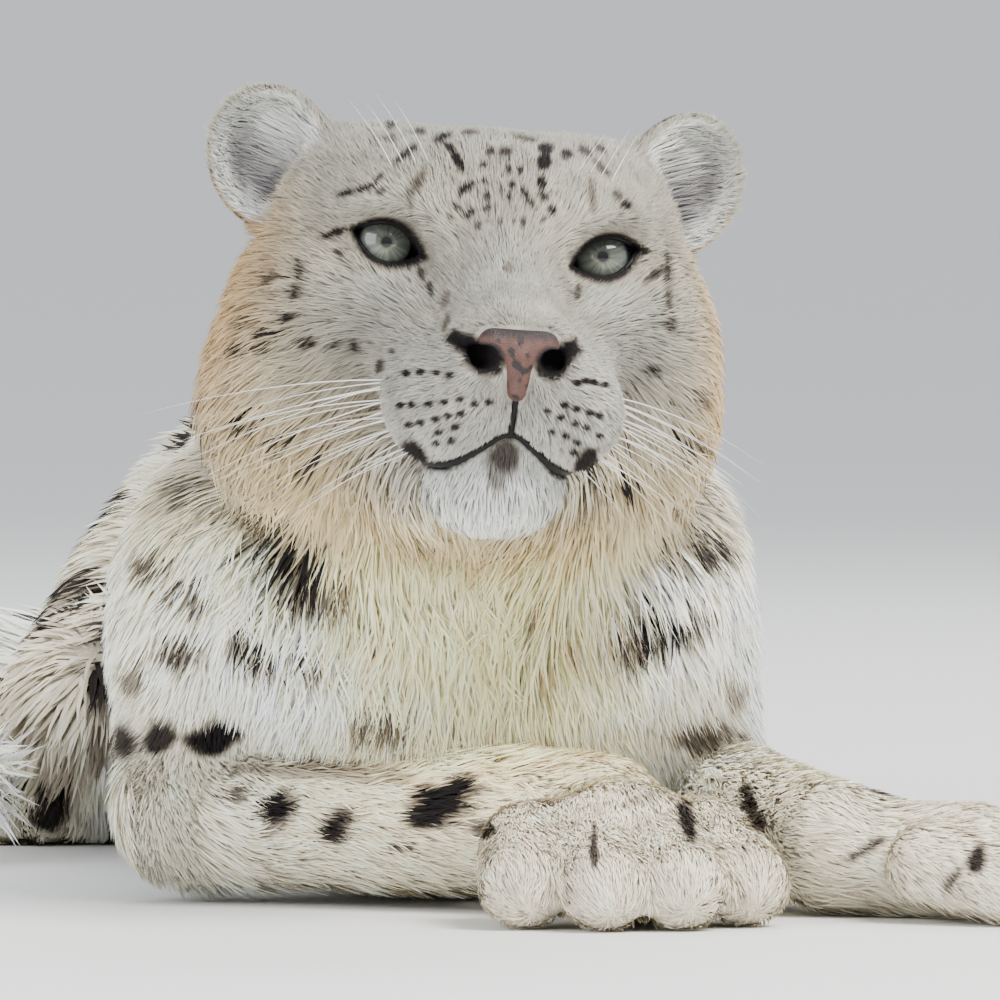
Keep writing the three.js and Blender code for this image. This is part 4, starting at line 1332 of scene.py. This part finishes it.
# Whiskers and brow hairs: root, way and length in the head's frame
whisker_material, _ = principled("whisker", 0.4, 0.5, (0.86, 0.85, 0.82, 1))
hairs = []
for side in (1, -1):
    for row, (z, y, hair_count) in enumerate(((-50, -46, 5), (-57, -50, 6), (-64, -48, 6), (-71, -44, 4))):
        for k in range(hair_count):
            start = sided((17 + 5 * k, y + 4 * k, z - 0.5 * k), side)
            reach = rng.uniform(80, 118) - 12 * row
            sweep = sided((1, 0.55 + 0.06 * k, rng.uniform(-0.38, 0.08) - 0.08 * row), side)
            hairs.append((start, unit(sweep), reach, 0.34))
    for k in range(4):
        start = sided((26 + 5 * k, 0, 26), side)
        hairs.append((start, unit(sided((0.5, -0.2 + 0.2 * k, 1.0), side)), rng.uniform(28, 44), 0.2))
tubes = []
for start, sweep, reach, thick in hairs:
    t = np.linspace(0, 1, 9)
    line = start + sweep * (t * reach)[:, None]
    line[:, 2] -= 0.16 * reach * t**2
    line[:, 1] += 0.22 * reach * t**2
    tubes.append(tube(from_head(line), thick * (1 - 0.93 * t), 4))
joined_tubes("whiskers", tubes, whisker_material)

# Floor, light and camera
FLOOR_REACH = 60.0


def scene_object(name, data):
    made = bpy.data.objects.new(name, data)
    bpy.context.scene.collection.objects.link(made)
    return made


floor_mesh = bpy.data.meshes.new("floor")
corners = [(x * FLOOR_REACH, y * FLOOR_REACH, 0) for x, y in ((-1, -1), (1, -1), (1, 1), (-1, 1))]
floor_mesh.from_pydata(corners, [], [(0, 1, 2, 3)])
floor = scene_object("floor", floor_mesh)
floor_material, _ = principled("floor", 0.9, 0.3, (0.78, 0.78, 0.76, 1))
floor.data.materials.append(floor_material)

# The studio's light is as bright as the far floor at the horizon, and brighter above.
world = bpy.data.worlds.new("studio")
bpy.context.scene.world = world
world.use_nodes = True
nodes, link = world.node_tree.nodes, world.node_tree.links.new
ways = nodes.new("ShaderNodeTexCoord")
split = nodes.new("ShaderNodeSeparateXYZ")
climb = nodes.new("ShaderNodeMapRange")
set_inputs(climb, {"From Min": 0.0, "From Max": 0.35})
sky = nodes.new("ShaderNodeMix")
sky.data_type = "RGBA"
set_inputs(sky, {"A": (0.67, 0.7, 0.72, 1), "B": (0.86, 0.9, 0.95, 1)})
link(ways.outputs["Generated"], split.inputs["Vector"])
link(split.outputs["Z"], climb.inputs["Value"])
link(climb.outputs["Result"], sky.inputs["Factor"])
link(sky.outputs["Result"], nodes["Background"].inputs["Color"])
nodes["Background"].inputs["Strength"].default_value = 1.05


# The lights turn towards this place.
LIT = Vector((0, -0.2, 0.15))


def area_light(name, place, size, power, colour=(1, 1, 1)):
    data = bpy.data.lights.new(name, "AREA")
    data.size = size
    data.energy = power
    data.color = colour
    light = scene_object(name, data)
    light.location = place
    light.rotation_euler = (LIT - Vector(place)).to_track_quat("-Z", "Y").to_euler()


area_light("key", (1.7, -1.9, 2.6), 1.8, 225, (1, 0.98, 0.95))
area_light("fill", (-2.4, -2.6, 0.9), 2.4, 115, (0.95, 0.97, 1))
area_light("back", (0.6, 2.2, 2.4), 1.6, 60)

camera_data = bpy.data.cameras.new("camera")
camera_data.sensor_width = SENSOR
camera_data.lens = SENSOR * CAMERA_AWAY * PIXELS_PER_MM / PICTURE
camera_data.clip_end = 200
camera = scene_object("camera", camera_data)
camera.location = Vector((CAMERA_TARGET - CAMERA_AHEAD * CAMERA_AWAY) * MM)
camera.rotation_euler = (math.radians(90 - CAMERA_RISE), 0, 0)
bpy.context.scene.camera = camera
